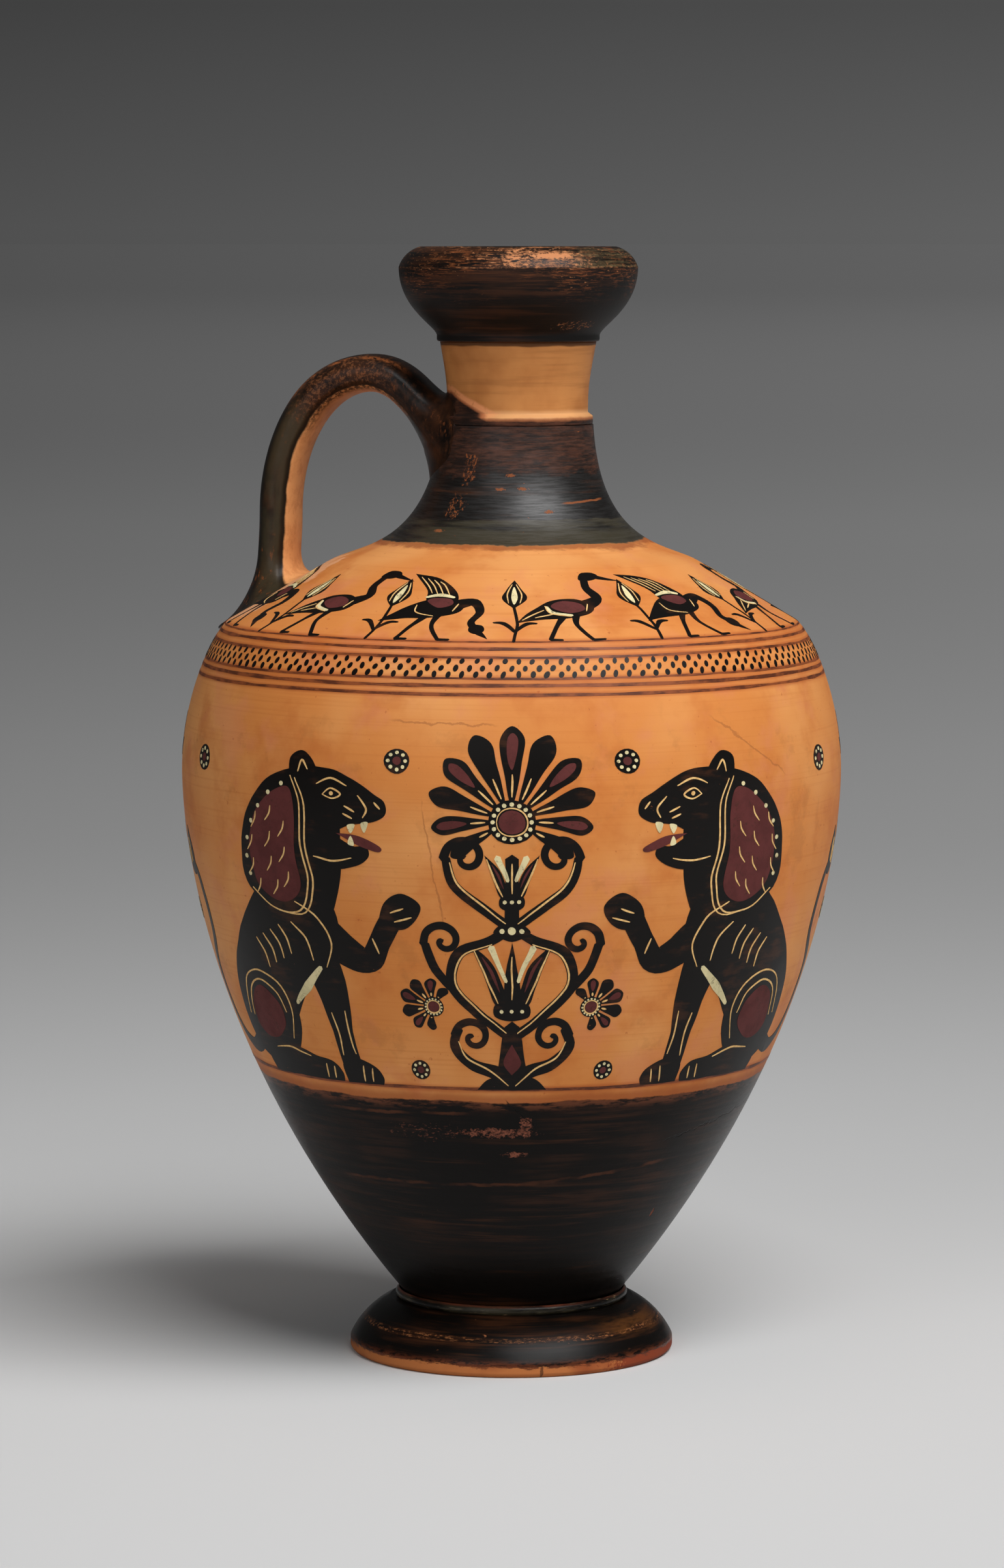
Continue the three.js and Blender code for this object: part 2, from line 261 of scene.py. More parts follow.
def moved(points, distance):
    """The same line moved to its right, which is outwards on a profile that climbs."""
    out = []
    for i, p in enumerate(points):
        a, b = points[max(0, i - 1)], points[min(len(points) - 1, i + 1)]
        step = distance / math.dist(a, b)
        out.append((p[0] + (b[1] - a[1]) * step, p[1] - (b[0] - a[0]) * step))
    return out


def rounded(points, radius, steps=4):
    """A closed profile with its sharp corners rounded off."""
    out = []
    for i, p in enumerate(points):
        a, b = points[i - 1], points[(i + 1) % len(points)]
        u = Vector((a[0] - p[0], a[1] - p[1]))
        v = Vector((b[0] - p[0], b[1] - p[1]))
        turn = math.pi - u.angle(v)
        if turn < SHARP_TURN or p[0] < AXIS:
            out.append(p)
            continue
        reach = min(radius * math.tan(turn / 2), u.length * 0.45, v.length * 0.45)
        start = Vector(p) + u.normalized() * reach
        end = Vector(p) + v.normalized() * reach
        for k in range(steps + 1):
            t = k / steps
            q = start * (1 - t) ** 2 + Vector(p) * 2 * t * (1 - t) + end * t * t
            out.append((q.x, q.y))
    return out


def body_wall(detail):
    base = (BASE_RADIUS, body_low)
    belly = (BELLY_RADIUS, belly_z)
    edge = (shoulder_radius, shoulder_z)
    top = (COLLAR_TOP_RADIUS, collar_top)
    up_slope = SHOULDER_SLOPE - 90
    below_belly = (belly[0], belly[1] - BELLY_PULL)
    above_belly = (belly[0], belly[1] + SHOULDER_PULL)
    on_slope = leaning(slope_end, up_slope, SLOPE_PULL)
    return joined(
        curve(base, leaning(base, BASE_LEAN, LOWER_WALL_PULL), below_belly, belly, 9 * detail),
        curve(belly, above_belly, leaning(edge, up_slope, -SHOULDER_ROUND), edge, 5 * detail),
        [between(edge, slope_end, k / detail) for k in range(detail + 1)],
        curve(slope_end, on_slope, leaning(top, -COLLAR_LEAN, -COLLAR_PULL), top, 5 * detail),
    )


def neck_flare():
    waist = (NECK_WAIST_RADIUS, neck_top - NECK_FLARE)
    top = (NECK_TOP_RADIUS, neck_top)
    lip = (top[0] - NECK_LIP_PULL[0], top[1] - NECK_LIP_PULL[1])
    return curve(waist, (waist[0], waist[1] + NECK_FLARE / 3), lip, top, 16)


def foot_profile():
    inner = FOOT_RADIUS - FOOT_REST_WIDTH
    top = arc((FOOT_RADIUS, FOOT_EDGE_HEIGHT), (FOOT_TOP_RADIUS, foot_top), FOOT_SWELL, 20)
    hollow = (inner - FOOT_HOLLOW_BEVEL[0], FOOT_HOLLOW_BEVEL[1])
    rest = [(inner, 0), (FOOT_RADIUS - FOOT_EDGE_BEVEL, 0), (FOOT_RADIUS, FOOT_EDGE_BEVEL)]
    return rounded(joined([(0, FOOT_HOLLOW_DEPTH), hollow], rest, top, [(0, foot_top)]), FOOT_ROUND)


def bead_profile():
    lean = math.tan(math.radians(BASE_LEAN))
    low = (BASE_RADIUS, foot_top - BEAD_SINK)
    high = (low[0] + BEAD_HEIGHT * lean, foot_top + BEAD_HEIGHT)
    return joined([low], arc((low[0] + BEAD_WIDTH + BEAD_LAP, low[1]), high, BEAD_SWELL, 10))


def body_profile():
    floor = body_low + FLOOR_THICKNESS
    throat = collar_top - THROAT_HEIGHT
    inner = moved(body_wall(2), -WALL)
    inner = [p for p in inner if floor + WALL / 2 < p[1] < throat - 1 and p[0] > BORE_RADIUS]
    return joined(
        [(BASE_RADIUS - 1, foot_top)],
        body_wall(10),
        [(BORE_RADIUS, collar_top), (BORE_RADIUS, throat)],
        inner[::-1],
        [(BASE_RADIUS, floor), (0, floor), (0, foot_top)],
    )


def neck_profile():
    ledge = (NECK_WAIST_RADIUS + LEDGE_WIDTH, neck_low + LEDGE_HEIGHT)
    step = [(ledge[0], collar_top), ledge, (NECK_WAIST_RADIUS, ledge[1] + LEDGE_SLOPE)]
    bore = [(BORE_RADIUS, neck_top), (BORE_RADIUS, collar_top)]
    return rounded(joined(step, neck_flare(), bore), NECK_ROUND)


def mouth_profile():
    foot = (MOUTH_FOOT_RADIUS, mouth_low + MOUTH_FOOT_HEIGHT)
    crease = (MOUTH_RADIUS, mouth_low + MOUTH_CREASE_HEIGHT)
    rim_outer = (MOUTH_TOP_RADIUS, mouth_top)
    rim_inner = (MOUTH_TOP_RADIUS - RIM_WIDTH, mouth_top - RIM_DISH)
    throat = (BORE_RADIUS, mouth_top - FUNNEL_DEPTH)
    hollow = (foot[0], foot[1] + MOUTH_HOLLOW_PULL)
    swell = (crease[0], crease[1] - MOUTH_SWELL_PULL)
    funnel = (rim_inner[0], rim_inner[1] - FUNNEL_DEPTH / 2)
    profile = joined(
        [(MOUTH_FOOT_RADIUS, neck_top)],
        curve(foot, hollow, swell, crease, 28),
        arc(crease, rim_outer, MOUTH_BEVEL_SWELL, 8),
        [(MOUTH_TOP_RADIUS - RIM_EDGE, mouth_top)],
        curve(rim_inner, funnel, (throat[0], throat[1] + FUNNEL_DEPTH / 3), throat, 16),
        [(BORE_RADIUS, neck_top)],
    )
    return rounded(profile, MOUTH_ROUND)


# meshes


def eased(value, low, high):
    t = max(0.0, min(1.0, (value - low) / (high - low)))
    return t * t * (3 - 2 * t)


def askew(x, y, z):
    """A point of the straight flask, moved to where the real neck leans, in metres."""
    x += NECK_SHIFT * eased(z, *SHIFT_HEIGHTS) * eased(x, *SHIFT_ARCH)
    return (x * MM, y * MM, z * MM)


def mesh_piece(name, points, faces, look, stands_for=(), sharp=35.0):
    """A shown piece of the flask from points in millimetres."""
    mesh = bpy.data.meshes.new(name)
    mesh.from_pydata([askew(*p) for p in points], [], faces)
    mesh.shade_smooth()
    mesh.set_sharp_from_angle(angle=math.radians(sharp))
    mesh.materials.append(look)
    piece = bpy.data.objects.new(name, mesh)
    bpy.context.scene.collection.objects.link(piece)
    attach(piece, "root")
    if stands_for:
        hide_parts(*stands_for)
    return piece


def turned(name, profile, look, stands_for=()):
    """A closed profile, listed anticlockwise, turned round the Z axis."""
    points, rings, faces = [], [], []
    for radius, height in profile:
        if radius < AXIS:
            rings.append([len(points)])
            points.append((0.0, 0.0, height))
            continue
        rings.append(range(len(points), len(points) + TURN_STEPS))
        for k in range(TURN_STEPS):
            a = 2 * math.pi * k / TURN_STEPS
            points.append((radius * math.cos(a), radius * math.sin(a), height))
    for low, high in zip(rings, rings[1:] + rings[:1]):
        for k in range(TURN_STEPS):
            n = (k + 1) % TURN_STEPS
            if len(low) > 1 and len(high) > 1:
                faces.append((low[k], low[n], high[n], high[k]))
            elif len(low) > 1:
                faces.append((low[k], low[n], high[0]))
            elif len(high) > 1:
                faces.append((low[0], high[n], high[k]))
    return mesh_piece(name, points, faces, look, stands_for)


wall_line = body_wall(10)
wall_run = [0.0]
for low, high in zip(wall_line, wall_line[1:]):
    wall_run.append(wall_run[-1] + math.dist(low, high))


def wall_at(run):
    """The radius and height at a distance up the wall, and the way out of it there."""
    k = max(1, min(bisect.bisect(wall_run, run), len(wall_run) - 1))
    a, b = wall_line[k - 1], wall_line[k]
    length = wall_run[k] - wall_run[k - 1]
    place = between(a, b, (run - wall_run[k - 1]) / length)
    return *place, (b[1] - a[1]) / length, (a[0] - b[0]) / length


def handle_line():
    """The middle line of the handle as (radius, height), from inside the collar to the shoulder."""
    climb = math.radians(UPPER_ROOT_CLIMB)
    root = (COLLAR_TOP_RADIUS, collar_top - UPPER_ROOT_DROP)
    arch = (ARCH_RADIUS, collar_top + ARCH_RISE)
    stand = (shoulder_radius - LOWER_ROOT_INSET, shoulder_z + LOWER_ROOT_INSET * slope_tan)
    limb = (stand[0] - LIMB_INSET, stand[1] + LIMB_LENGTH)
    inside = (root[0] - ROOT_DEPTH * math.cos(climb), root[1] - ROOT_DEPTH * math.sin(climb))
    run, bend, drop = arch[0] - root[0], limb[0] - arch[0], arch[1] - limb[1]
    pull = run * ARCH_PULL[0]
    leave = (root[0] + pull * math.cos(climb), root[1] + pull * math.sin(climb))
    over = (arch[0] + bend * BEND_PULL[0], arch[1])
    third = LIMB_LENGTH / 3
    return joined(
        [inside],
        curve(root, leave, (arch[0] - run * ARCH_PULL[1], arch[1]), arch, 24),
        curve(arch, over, (limb[0], limb[1] + drop * BEND_PULL[1]), limb, 24),
        curve(limb, (limb[0], limb[1] - third), (stand[0], stand[1] + third), stand, 10),
        [(stand[0], stand[1] - ROOT_DEPTH)],
    )


def along_line(line, share):
    """The point at a share of a line's length, and the line's direction there."""
    lengths = [math.dist(a, b) for a, b in zip(line, line[1:])]
    left = share * sum(lengths)
    for (a, b), length in zip(zip(line, line[1:]), lengths):
        if left <= length or b is line[-1]:
            way = ((b[0] - a[0]) / length, (b[1] - a[1]) / length)
            return between(a, b, left / length), way
        left -= length


def nearest_on_wall(wall, p):
    """How far a point of the profile plane stands off a wall, and the wall's direction there."""
    best = (math.inf, None)
    for a, b in zip(wall, wall[1:]):
        dx, dy = b[0] - a[0], b[1] - a[1]
        length = math.hypot(dx, dy)
        t = max(0.0, min(1.0, ((p[0] - a[0]) * dx + (p[1] - a[1]) * dy) / length**2))
        ox, oy = p[0] - a[0] - dx * t, p[1] - a[1] - dy * t
        gap = math.hypot(ox, oy)
        if gap < abs(best[0]):
            best = (gap if ox * dy - oy * dx > 0 else -gap, (dx / length, dy / length))
    return best


def handle():
    """The strap, with each line of its skin drawn out over the wall in a fillet at both ends.

    Two measures ride along for its look: how far round the section a point lies, and how far
    along the handle.
    """
    line = handle_line()
    wall = joined(body_wall(4), neck_flare())

    def skin(angle, u, fillet):
        (radius, height), (tx, ty) = along_line(line, u)
        c, s = math.cos(angle), math.sin(angle)
        side = math.copysign(abs(c) ** (2 / SECTION_SQUARENESS), c) * HANDLE_WIDTH / 2
        out = math.copysign(abs(s) ** (2 / SECTION_SQUARENESS), s) * HANDLE_THICKNESS / 2
        x, z = radius - ty * out, height + tx * out
        far = math.hypot(x, side)
        gap, (ax, az) = nearest_on_wall(wall, (far, z))
        up = ax * (far - radius) + az * (z - height)
        reach = math.hypot(side, up) or 1.0
        curl = fillet[1] + (fillet[0] - fillet[1]) * (1 + up / reach) / 2
        near = max(0.0, min(curl, gap))
        push = curl - math.sqrt(curl**2 - (curl - near) ** 2)
        far += push * up * ax / reach
        turn = math.atan2(side, x) + push * side / reach / far
        return (-far * math.cos(turn), far * math.sin(turn), z + push * up * az / reach), gap

    def root_share(angle, low, high, fillet, sinks):
        """Where a line of the skin has sunk into the wall."""
        for _ in range(END_TRIES):
            middle = (low + high) / 2
            if (skin(angle, middle, fillet)[1] < -ROOT_SINK) == sinks:
                low = middle
            else:
                high = middle
        return (low + high) / 2

    points, section, along = [], [], []
    for k in range(STRAP_LINES):
        angle = 2 * math.pi * k / STRAP_LINES
        start = root_share(angle, *UPPER_END, UPPER_FILLET, True)
        end = root_share(angle, *LOWER_END, LOWER_FILLET, False)
        for ring in range(STRAP_RINGS):
            t = ring / (STRAP_RINGS - 1)
            t -= RING_CROWDING * math.sin(2 * math.pi * t) / (2 * math.pi)
            u = start + (end - start) * t
            p, _ = skin(angle, u, UPPER_FILLET if t < 0.5 else LOWER_FILLET)
            points.append(p)
            section.append(math.sin(angle))
            along.append(u)
    grid = [range(k * STRAP_RINGS, (k + 1) * STRAP_RINGS) for k in range(STRAP_LINES)]
    faces = []
    for a, b in zip(grid, grid[1:] + grid[:1]):
        faces += zip(a, a[1:], b[1:], b)
    faces.append([a[0] for a in grid])
    faces.append([a[-1] for a in grid][::-1])
    stands_for = ("handle", "slip_handle_to_neck", "slip_handle_to_shoulder")
    piece = mesh_piece("handle_strap", points, faces, handle_look(), stands_for, 60)
    for name, values in (("section", section), ("along", along)):
        attribute = piece.data.attributes.new(name, "FLOAT", "POINT")
        attribute.data.foreach_set("value", values)
    return piece


# looks


def rgb(red, green, blue):
    """A colour written as on a screen, 0 to 255, as the shader's linear values."""
    parts = [v / 255 for v in (red, green, blue)]
    return tuple(v / 12.92 if v < 0.04045 else ((v + 0.055) / 1.055) ** 2.4 for v in parts) + (1.0,)


class Value:
    """What one socket of a material's nodes gives, for use in formulas.

    Of two values a | b is the larger one, and ~a is 1 - a.
    """

    def __init__(self, look, socket):
        self.look = look
        self.socket = socket

    def __add__(self, other):
        return self.look.math("ADD", self, other)

    def __sub__(self, other):
        return self + other * -1.0

    def __mul__(self, other):
        return self.look.math("MULTIPLY", self, other)

    def __or__(self, other):
        return self.look.math("MAXIMUM", self, other)

    def __invert__(self):
        return self.look.math("SUBTRACT", 1.0, self)

    def __abs__(self):
        return self.look.math("ABSOLUTE", self)

    def step(self, low, high):
        """0 up to low, 1 from high, smooth between; the other way round if low is above high."""
        up = float(low < high)
        inputs = {0: self, 1: min(low, high), 2: max(low, high), 3: 1.0 - up, 4: up}
        return self.look.value("MapRange", inputs, interpolation_type="SMOOTHSTEP")

    def sway(self, amount):
        """A shift to both sides made from noise."""
        return (self - 0.5) * amount


def mix(share, a, b):
    """Between two colours."""
    return share.look.value("Mix", {0: share, 6: a, 7: b}, 2, data_type="RGBA")


def blend(share, a, b):
    """Between two numbers."""
    return share.look.value("Mix", {0: share, 2: a, 3: b}, data_type="FLOAT")


class Look:
    """A node material, built from short formulas over the place in millimetres."""

    def __init__(self, name, specular, roughness=0.5):
        self.material = bpy.data.materials.new(name)
        self.material.use_nodes = True
        self.tree = self.material.node_tree
        self.shader = self.tree.nodes["Principled BSDF"]
        self.put(roughness, self.shader.inputs["Roughness"])
        self.put(specular, self.shader.inputs["Specular IOR Level"])
        place = self.value("TexCoord", output="Object")
        place = self.value("VectorMath", {0: place, "Scale": 1 / MM}, operation="SCALE")
        self.z = self.value("SeparateXYZ", {0: place}, "Z")
        # the formulas are written for the straight flask
        lean = self.value("CombineXYZ", {0: self.z.step(*SHIFT_HEIGHTS) * NECK_SHIFT})
        self.place = self.value("VectorMath", {0: place, 1: lean}, operation="SUBTRACT")
        flat = self.value("VectorMath", {0: self.place, 1: (1, 1, 0)}, operation="MULTIPLY")
        self.radius = self.value("VectorMath", {0: flat}, "Value", operation="LENGTH")

    def put(self, value, socket):
        if isinstance(value, Value):
            self.tree.links.new(value.socket, socket)
        else:
            socket.default_value = value

    def value(self, kind, inputs=None, output=0, **settings):
        """One output of a new node."""
        node = self.tree.nodes.new("ShaderNode" + kind)
        for key, setting in settings.items():
            setattr(node, key, setting)
        for key, value in (inputs or {}).items():
            self.put(value, node.inputs[key])
        return Value(self, node.outputs[output])

    def math(self, operation, a, b=0.5):
        return self.value("Math", {0: a, 1: b}, operation=operation)

    def noise(self, size, detail=3.0, roughness=0.55, stretch=(1, 1), seed=0.0, warp=0.0):
        """Noise with features of about a size in millimetres, stretched level and upright."""
        level, upright = (1 / (size * s) for s in stretch)
        scaled = {0: self.place, 1: (level, level, upright)}
        where = self.value("VectorMath", scaled, operation="MULTIPLY")
        apart = {0: where, 1: (seed * 7.31, seed * 3.17, seed * 5.77)}
        where = self.value("VectorMath", apart, operation="ADD")
        inputs = {"Vector": where, "Scale": 1.0, "Detail": detail, "Roughness": roughness}
        return self.value("TexNoise", {**inputs, "Distortion": warp}, "Fac")

    def along(self, x, y):
        """How far out the place lies in a level direction."""
        return self.value("VectorMath", {0: self.place, 1: (x, y, 0)}, "Value", operation="DOT_PRODUCT")

    def bearing(self, degrees):
        """The angle round the axis, in radians, from a direction in degrees from the front."""
        turn = FRONT + math.radians(degrees)
        c, s = math.cos(turn), math.sin(turn)
        return self.math("ARCTAN2", self.along(-s, c), self.along(c, s))

    def arc(self, degrees):
        """Millimetres round the wall from a direction, less than 0 to its left."""
        return self.bearing(degrees) * self.radius

    def spot(self, degrees, z, wide, tall, ragged=0.8, slant=0.0, grain=1.4, seed=0.0):
        """1 in a ragged oval with these half sizes in millimetres, 0 outside it."""
        arc = self.arc(degrees)
        x = arc * (1 / wide)
        y = (self.z - z + arc * -slant) * (1 / tall)
        edge = self.noise(grain, 5, 0.7, seed=seed).sway(2 * ragged)
        return (self.math("SQRT", x * x + y * y) + edge).step(1.05, 0.85)

    def crack(self, degrees, z, long, slant, width=0.12, jag=2.6, seed=0.0):
        """1 on a thin jagged line through a place, with a half length and a slope."""
        arc = self.arc(degrees)
        off = abs(self.z - z + arc * -slant + self.noise(2.2, 4, 0.6, seed=seed).sway(jag))
        return off.step(width * 1.6, width * 0.6) * abs(arc).step(long, long * 0.7)

    def finish(self, colour, roughness, height, depth):
        """Height runs from 0 to 1 and stands for depth millimetres."""
        self.put(colour, self.shader.inputs["Base Color"])
        self.put(roughness, self.shader.inputs["Roughness"])
        bump = self.value("Bump", {"Height": height, "Distance": depth * MM, "Strength": 1.0})
        self.put(bump, self.shader.inputs["Normal"])
        return self.material


CLAY = rgb(206, 129, 66)
CLAY_DEEP = rgb(184, 99, 45)
CLAY_PALE = rgb(218, 150, 88)
CLAY_RED = rgb(162, 76, 38)
GLOSS = rgb(13, 10, 8)
GLOSS_BROWN = rgb(60, 34, 19)
GLOSS_OLIVE = rgb(52, 47, 34)
RED = rgb(92, 44, 42)
WHITE = rgb(222, 208, 160)


def clay_colour(look):
    """Burnished clay: soft clouds of colour, fine wheel lines and dark specks."""
    colour = mix(look.noise(26, 3, 0.5).step(0.38, 0.66), CLAY, CLAY_PALE)
    colour = mix(look.noise(11, 4, 0.6, seed=2).step(0.48, 0.72) * 0.55, colour, CLAY_DEEP)
    colour = mix(look.noise(1.1, 2, 0.5, (30, 0.35), 3).step(0.5, 0.75) * 0.22, colour, CLAY_DEEP)
    colour = mix(look.noise(0.9, 2, 0.5, seed=4).step(0.70, 0.78) * 0.5, colour, CLAY_RED)
    colour = mix(look.noise(12, 5, 0.62, seed=108).step(0.5, 0.66) * 0.35, colour, rgb(206, 126, 92))
    stains = look.noise(9, 5, 0.66, seed=106).step(0.56, 0.66) * look.z.step(112, 100)
    return mix(stains * 0.22, colour, rgb(150, 92, 50))


def gloss_colour(look, thin=0.0):
    """Black gloss, brown where the brush left it thin, in level streaks."""
    broad = look.noise(2.2, 4, 0.62, (16, 0.7), 5) * 0.55
    fine = look.noise(0.6, 3, 0.6, (26, 0.5), 6) * 0.2
    patches = look.noise(15, 4, 0.6, (1.6, 0.8), 7) * 0.35
    low = 0.585 - thin
    return mix((broad + fine + patches).step(low, low + 0.14) * 0.85, GLOSS, GLOSS_BROWN)


def rings_height(look):
    """Shallow turning marks and the unevenness of a hand-thrown wall."""
    turning = look.noise(2.4, 2, 0.5, (40, 0.5), 8) * 0.3
    return turning + look.noise(14, 2, 0.5, seed=9) * 0.6 + look.noise(0.5, 3, 0.6, seed=10) * 0.1


def root_web(look, wander):
    """How far above the black round the handle's upper root, and 1 where that black covers."""
    top = look.math("MINIMUM", abs(look.arc(HANDLE_SIDE)) * -WEB_FALL[1] + WEB_FALL[0], WEB_TOP)
    above = look.z + wander - (top | LEDGE_PAINT)
    return above, above.step(0.3, -0.2)


def collar_wear(look):
    """Orange flecks and scratches in the collar's gloss, thickest beside the handle's root."""
    dense = look.spot(-34, 140.8, 1.2, 2.6, 1.4, grain=1.2, seed=61)
    dense |= look.spot(-38, 134.9, 1.6, 2.0, 1.4, grain=1.0, seed=98)
    out = dense * look.noise(0.5, 5, 0.72, (0.9, 1.5), 60).step(0.50, 0.60) * 0.85
    out |= look.noise(1.1, 4, 0.65, (1.8, 0.6), 62).step(0.70, 0.73) * 0.8
    out |= look.crack(47, 135.6, 5.2, 0.05, 0.13, jag=0.5, seed=63) * 0.75
    places = (-10.5, 137.6), (4, 137.7), (19, 134.2), (-41, 131.2), (-4, 139.7)
    for n, (degrees, z) in enumerate(places):
        out |= look.spot(degrees, z, 0.75, 0.22, 1.9, grain=0.35, seed=64 + n) * 0.75
    return out


def matt_brown(look):
    """Gloss brushed on thin: brown, in fine level strokes over softer patches."""
    shade = look.noise(0.5, 5, 0.72, (6, 0.7), 65) * 0.6 + look.noise(5, 3, 0.6, (1.6, 0.8), 93) * 0.4
    colour = mix(shade.step(0.42, 0.62), rgb(32, 22, 18), rgb(82, 50, 36))
    ruddy = look.noise(2.2, 5, 0.7, (2.2, 0.8), 99).step(0.50, 0.64)
    return mix(ruddy * 0.35, colour, rgb(100, 58, 40))


def body_clay(look, z):
    """The body's clay, with the wash by its edges and lines, its old mended breaks and a painted highlight
    on the belly's front.
    """
    wash = z.step(LOWER_BLACK_TOP + 2.4, LOWER_BLACK_TOP + 0.6)
    colour = mix(wash * 0.7, clay_colour(look), rgb(146, 74, 38))
    # the wheel lines' thin wash spreads a little past them
    for run, width in LINES:
        near = abs(look.z - wall_at(run)[1]).step(width + 0.3, width * 0.4)
        colour = mix(near * blend(look.noise(2, 4, 0.6, (6, 0.6), run), 0.25, 0.85), colour, CLAY_RED)
    breaks = look.crack(-13.5, 83.0, 1.6, -6.2, 0.75, jag=9.0, seed=110)
    breaks |= look.crack(45, 99.8, 8.5, -0.64, 0.16, jag=2.4, seed=111)
    breaks |= look.crack(-12, 104.3, 9.0, -0.03, 0.13, jag=1.4, seed=109)
    colour = mix(breaks * 0.45, colour, rgb(140, 80, 46))
    # painted highlight: the clay paled on the belly's front, where the light falls most
    return mix(look.spot(-3, 88.0, 8.0, 5.0, 0.7, grain=5, seed=112) * 0.25, colour, CLAY_PALE)


def body_gloss(look, brown):
    """The body's black: sepia streaks below, and thinly brushed brown on the upper collar."""
    sepia = look.noise(1.4, 5, 0.66, (16, 0.8), 103).step(0.44, 0.62)
    sepia *= look.noise(16, 3, 0.5, seed=104).step(0.34, 0.62)
    sepia = sepia * look.z.step(14, 30) * look.z.step(60, 55)
    black = mix(sepia * 0.65, gloss_colour(look), rgb(56, 33, 21))
    return mix(brown * 0.85, black, matt_brown(look))


def lower_streaks(look):
    """Brown streaks in the lower black, drawn out by the turning wheel."""
    drawn = look.crack(-20, 31.6, 20, 0.01, 0.2, jag=0.7, seed=68)
    drawn |= look.crack(22, 33.0, 14, 0.11, 0.25, jag=0.8, seed=69)
    return drawn | look.crack(-28, 43.4, 14, 0.02, 0.22, jag=0.9, seed=67)


def lower_chips(look):
    """Chips through the lower black down to the clay."""
    chip = look.spot(-3.5, 40.5, 5.4, 0.75, 1.5, grain=0.9, seed=70)
    chip |= look.spot(3.2, 41.3, 0.9, 1.7, 1.4, grain=0.7, seed=71)
    chip |= look.spot(0.5, 36.9, 1.6, 0.5, 1.6, grain=0.7, seed=72)
    chip *= look.noise(0.6, 4, 0.7, (1.6, 1), 89).step(0.40, 0.52)
    chip |= look.spot(50, 24.9, 0.3, 0.7, seed=73)
    return chip | look.noise(2.0, 5, 0.7, seed=14).step(0.735, 0.745)


def body_look():
    look = Look("burnished_clay_and_gloss", 0.1)
    z = look.z + look.noise(9, 3, 0.5, seed=11).sway(1.1) + look.noise(1.6, 3, 0.6, seed=12).sway(0.5)
    colour = body_clay(look, z)
    lower = z.step(LOWER_BLACK_TOP + 0.3, LOWER_BLACK_TOP)
    collar = z.step(COLLAR_BLACK_LOW, COLLAR_BLACK_LOW + 0.3)
    thinned = z.step(COLLAR_PAINT_LOW, COLLAR_PAINT_LOW + 0.25)
    painted = lower | thinned
    # a frayed border and thinned gloss below the collar's black
    fray = look.noise(2.6, 5, 0.68, (3, 1), 105)
    edge = (look.z + fray.sway(2.4)).step(COLLAR_PAINT_LOW - 0.8, COLLAR_PAINT_LOW - 0.3) * ~thinned
    colour = mix(edge * blend(fray, 0.45, 0.95), colour, rgb(134, 68, 38))
    olive = mix(look.noise(3, 4, 0.6, (8, 0.6), 13).step(0.46, 0.66), GLOSS_OLIVE, GLOSS)
    colour = mix(thinned, colour, olive)
    border = look.z + look.noise(6, 4, 0.65, seed=66).sway(7.0)
    brown = border.step(COLLAR_BROWN_LOW, COLLAR_BROWN_LOW + 0.8)
    colour = mix(lower | collar, colour, body_gloss(look, brown))
    rubbed = look.noise(1.3, 5, 0.7, (4, 0.8), 107).step(0.44, 0.58)
    rubbed *= z.step(LOWER_BLACK_TOP - 1.7, LOWER_BLACK_TOP - 0.1)
    colour = mix(rubbed * lower * 0.65, colour, rgb(118, 68, 44))
    faded = look.noise(4, 3, 0.6, (2, 1), 88).step(0.36, 0.62)
    colour = mix(lower_streaks(look) * lower * faded * 0.6, colour, rgb(96, 54, 32))
    # down to the clay
    chips = lower_chips(look) * lower
    specks = look.spot(-21, 40.3, 6.0, 1.5, 1.3, grain=1.2, seed=74)
    specks = specks * look.noise(0.34, 4, 0.7, (2.2, 0.8), 75).step(0.56, 0.66) * 0.7
    worn = chips | (collar_wear(look) * thinned | specks)
    dulled = mix(look.noise(0.45, 4, 0.7, seed=83).step(0.36, 0.58), rgb(92, 52, 40), rgb(146, 88, 68))
    colour = mix(worn * 0.8, colour, mix(lower, rgb(158, 90, 50), dulled))
    cracks = look.crack(60, 39.9, 13, 0.16, 0.10, seed=76) | look.crack(2, 43.8, 2.6, -0.9, 0.10, seed=77)
    colour = mix(cracks * 0.9, colour, rgb(12, 8, 6))
    pale = look.spot(-86, 121.5, 8.0, 5.5, 0.7, grain=4, seed=95) * ~painted
    colour = mix(pale * 0.6, colour, rgb(234, 178, 138))
    # the collar keeps the best of its gloss
    streaks = look.noise(0.4, 5, 0.75, (12, 0.7), 100).step(0.40, 0.60)
    glaze = thinned * blend(brown * collar, 1.0, 0.55) * blend(streaks, 0.45, 1.0) * ~worn
    look.put(glaze, look.shader.inputs["Coat Weight"])
    look.put(0.5, look.shader.inputs["Coat Roughness"])
    shine = look.noise(6, 4, 0.6, (4, 0.8), 16)
    gloss = blend(shine, 0.18, 0.30) + look.noise(0.45, 4, 0.7, (4, 0.8), 94) * 0.16
    matt = blend(painted, blend(shine, 0.44, 0.56), blend(brown * collar, gloss, 0.45))
    height = rings_height(look) + (chips | cracks) * -0.9
    return look.finish(colour, blend(worn, matt, 0.75), height, 0.12)


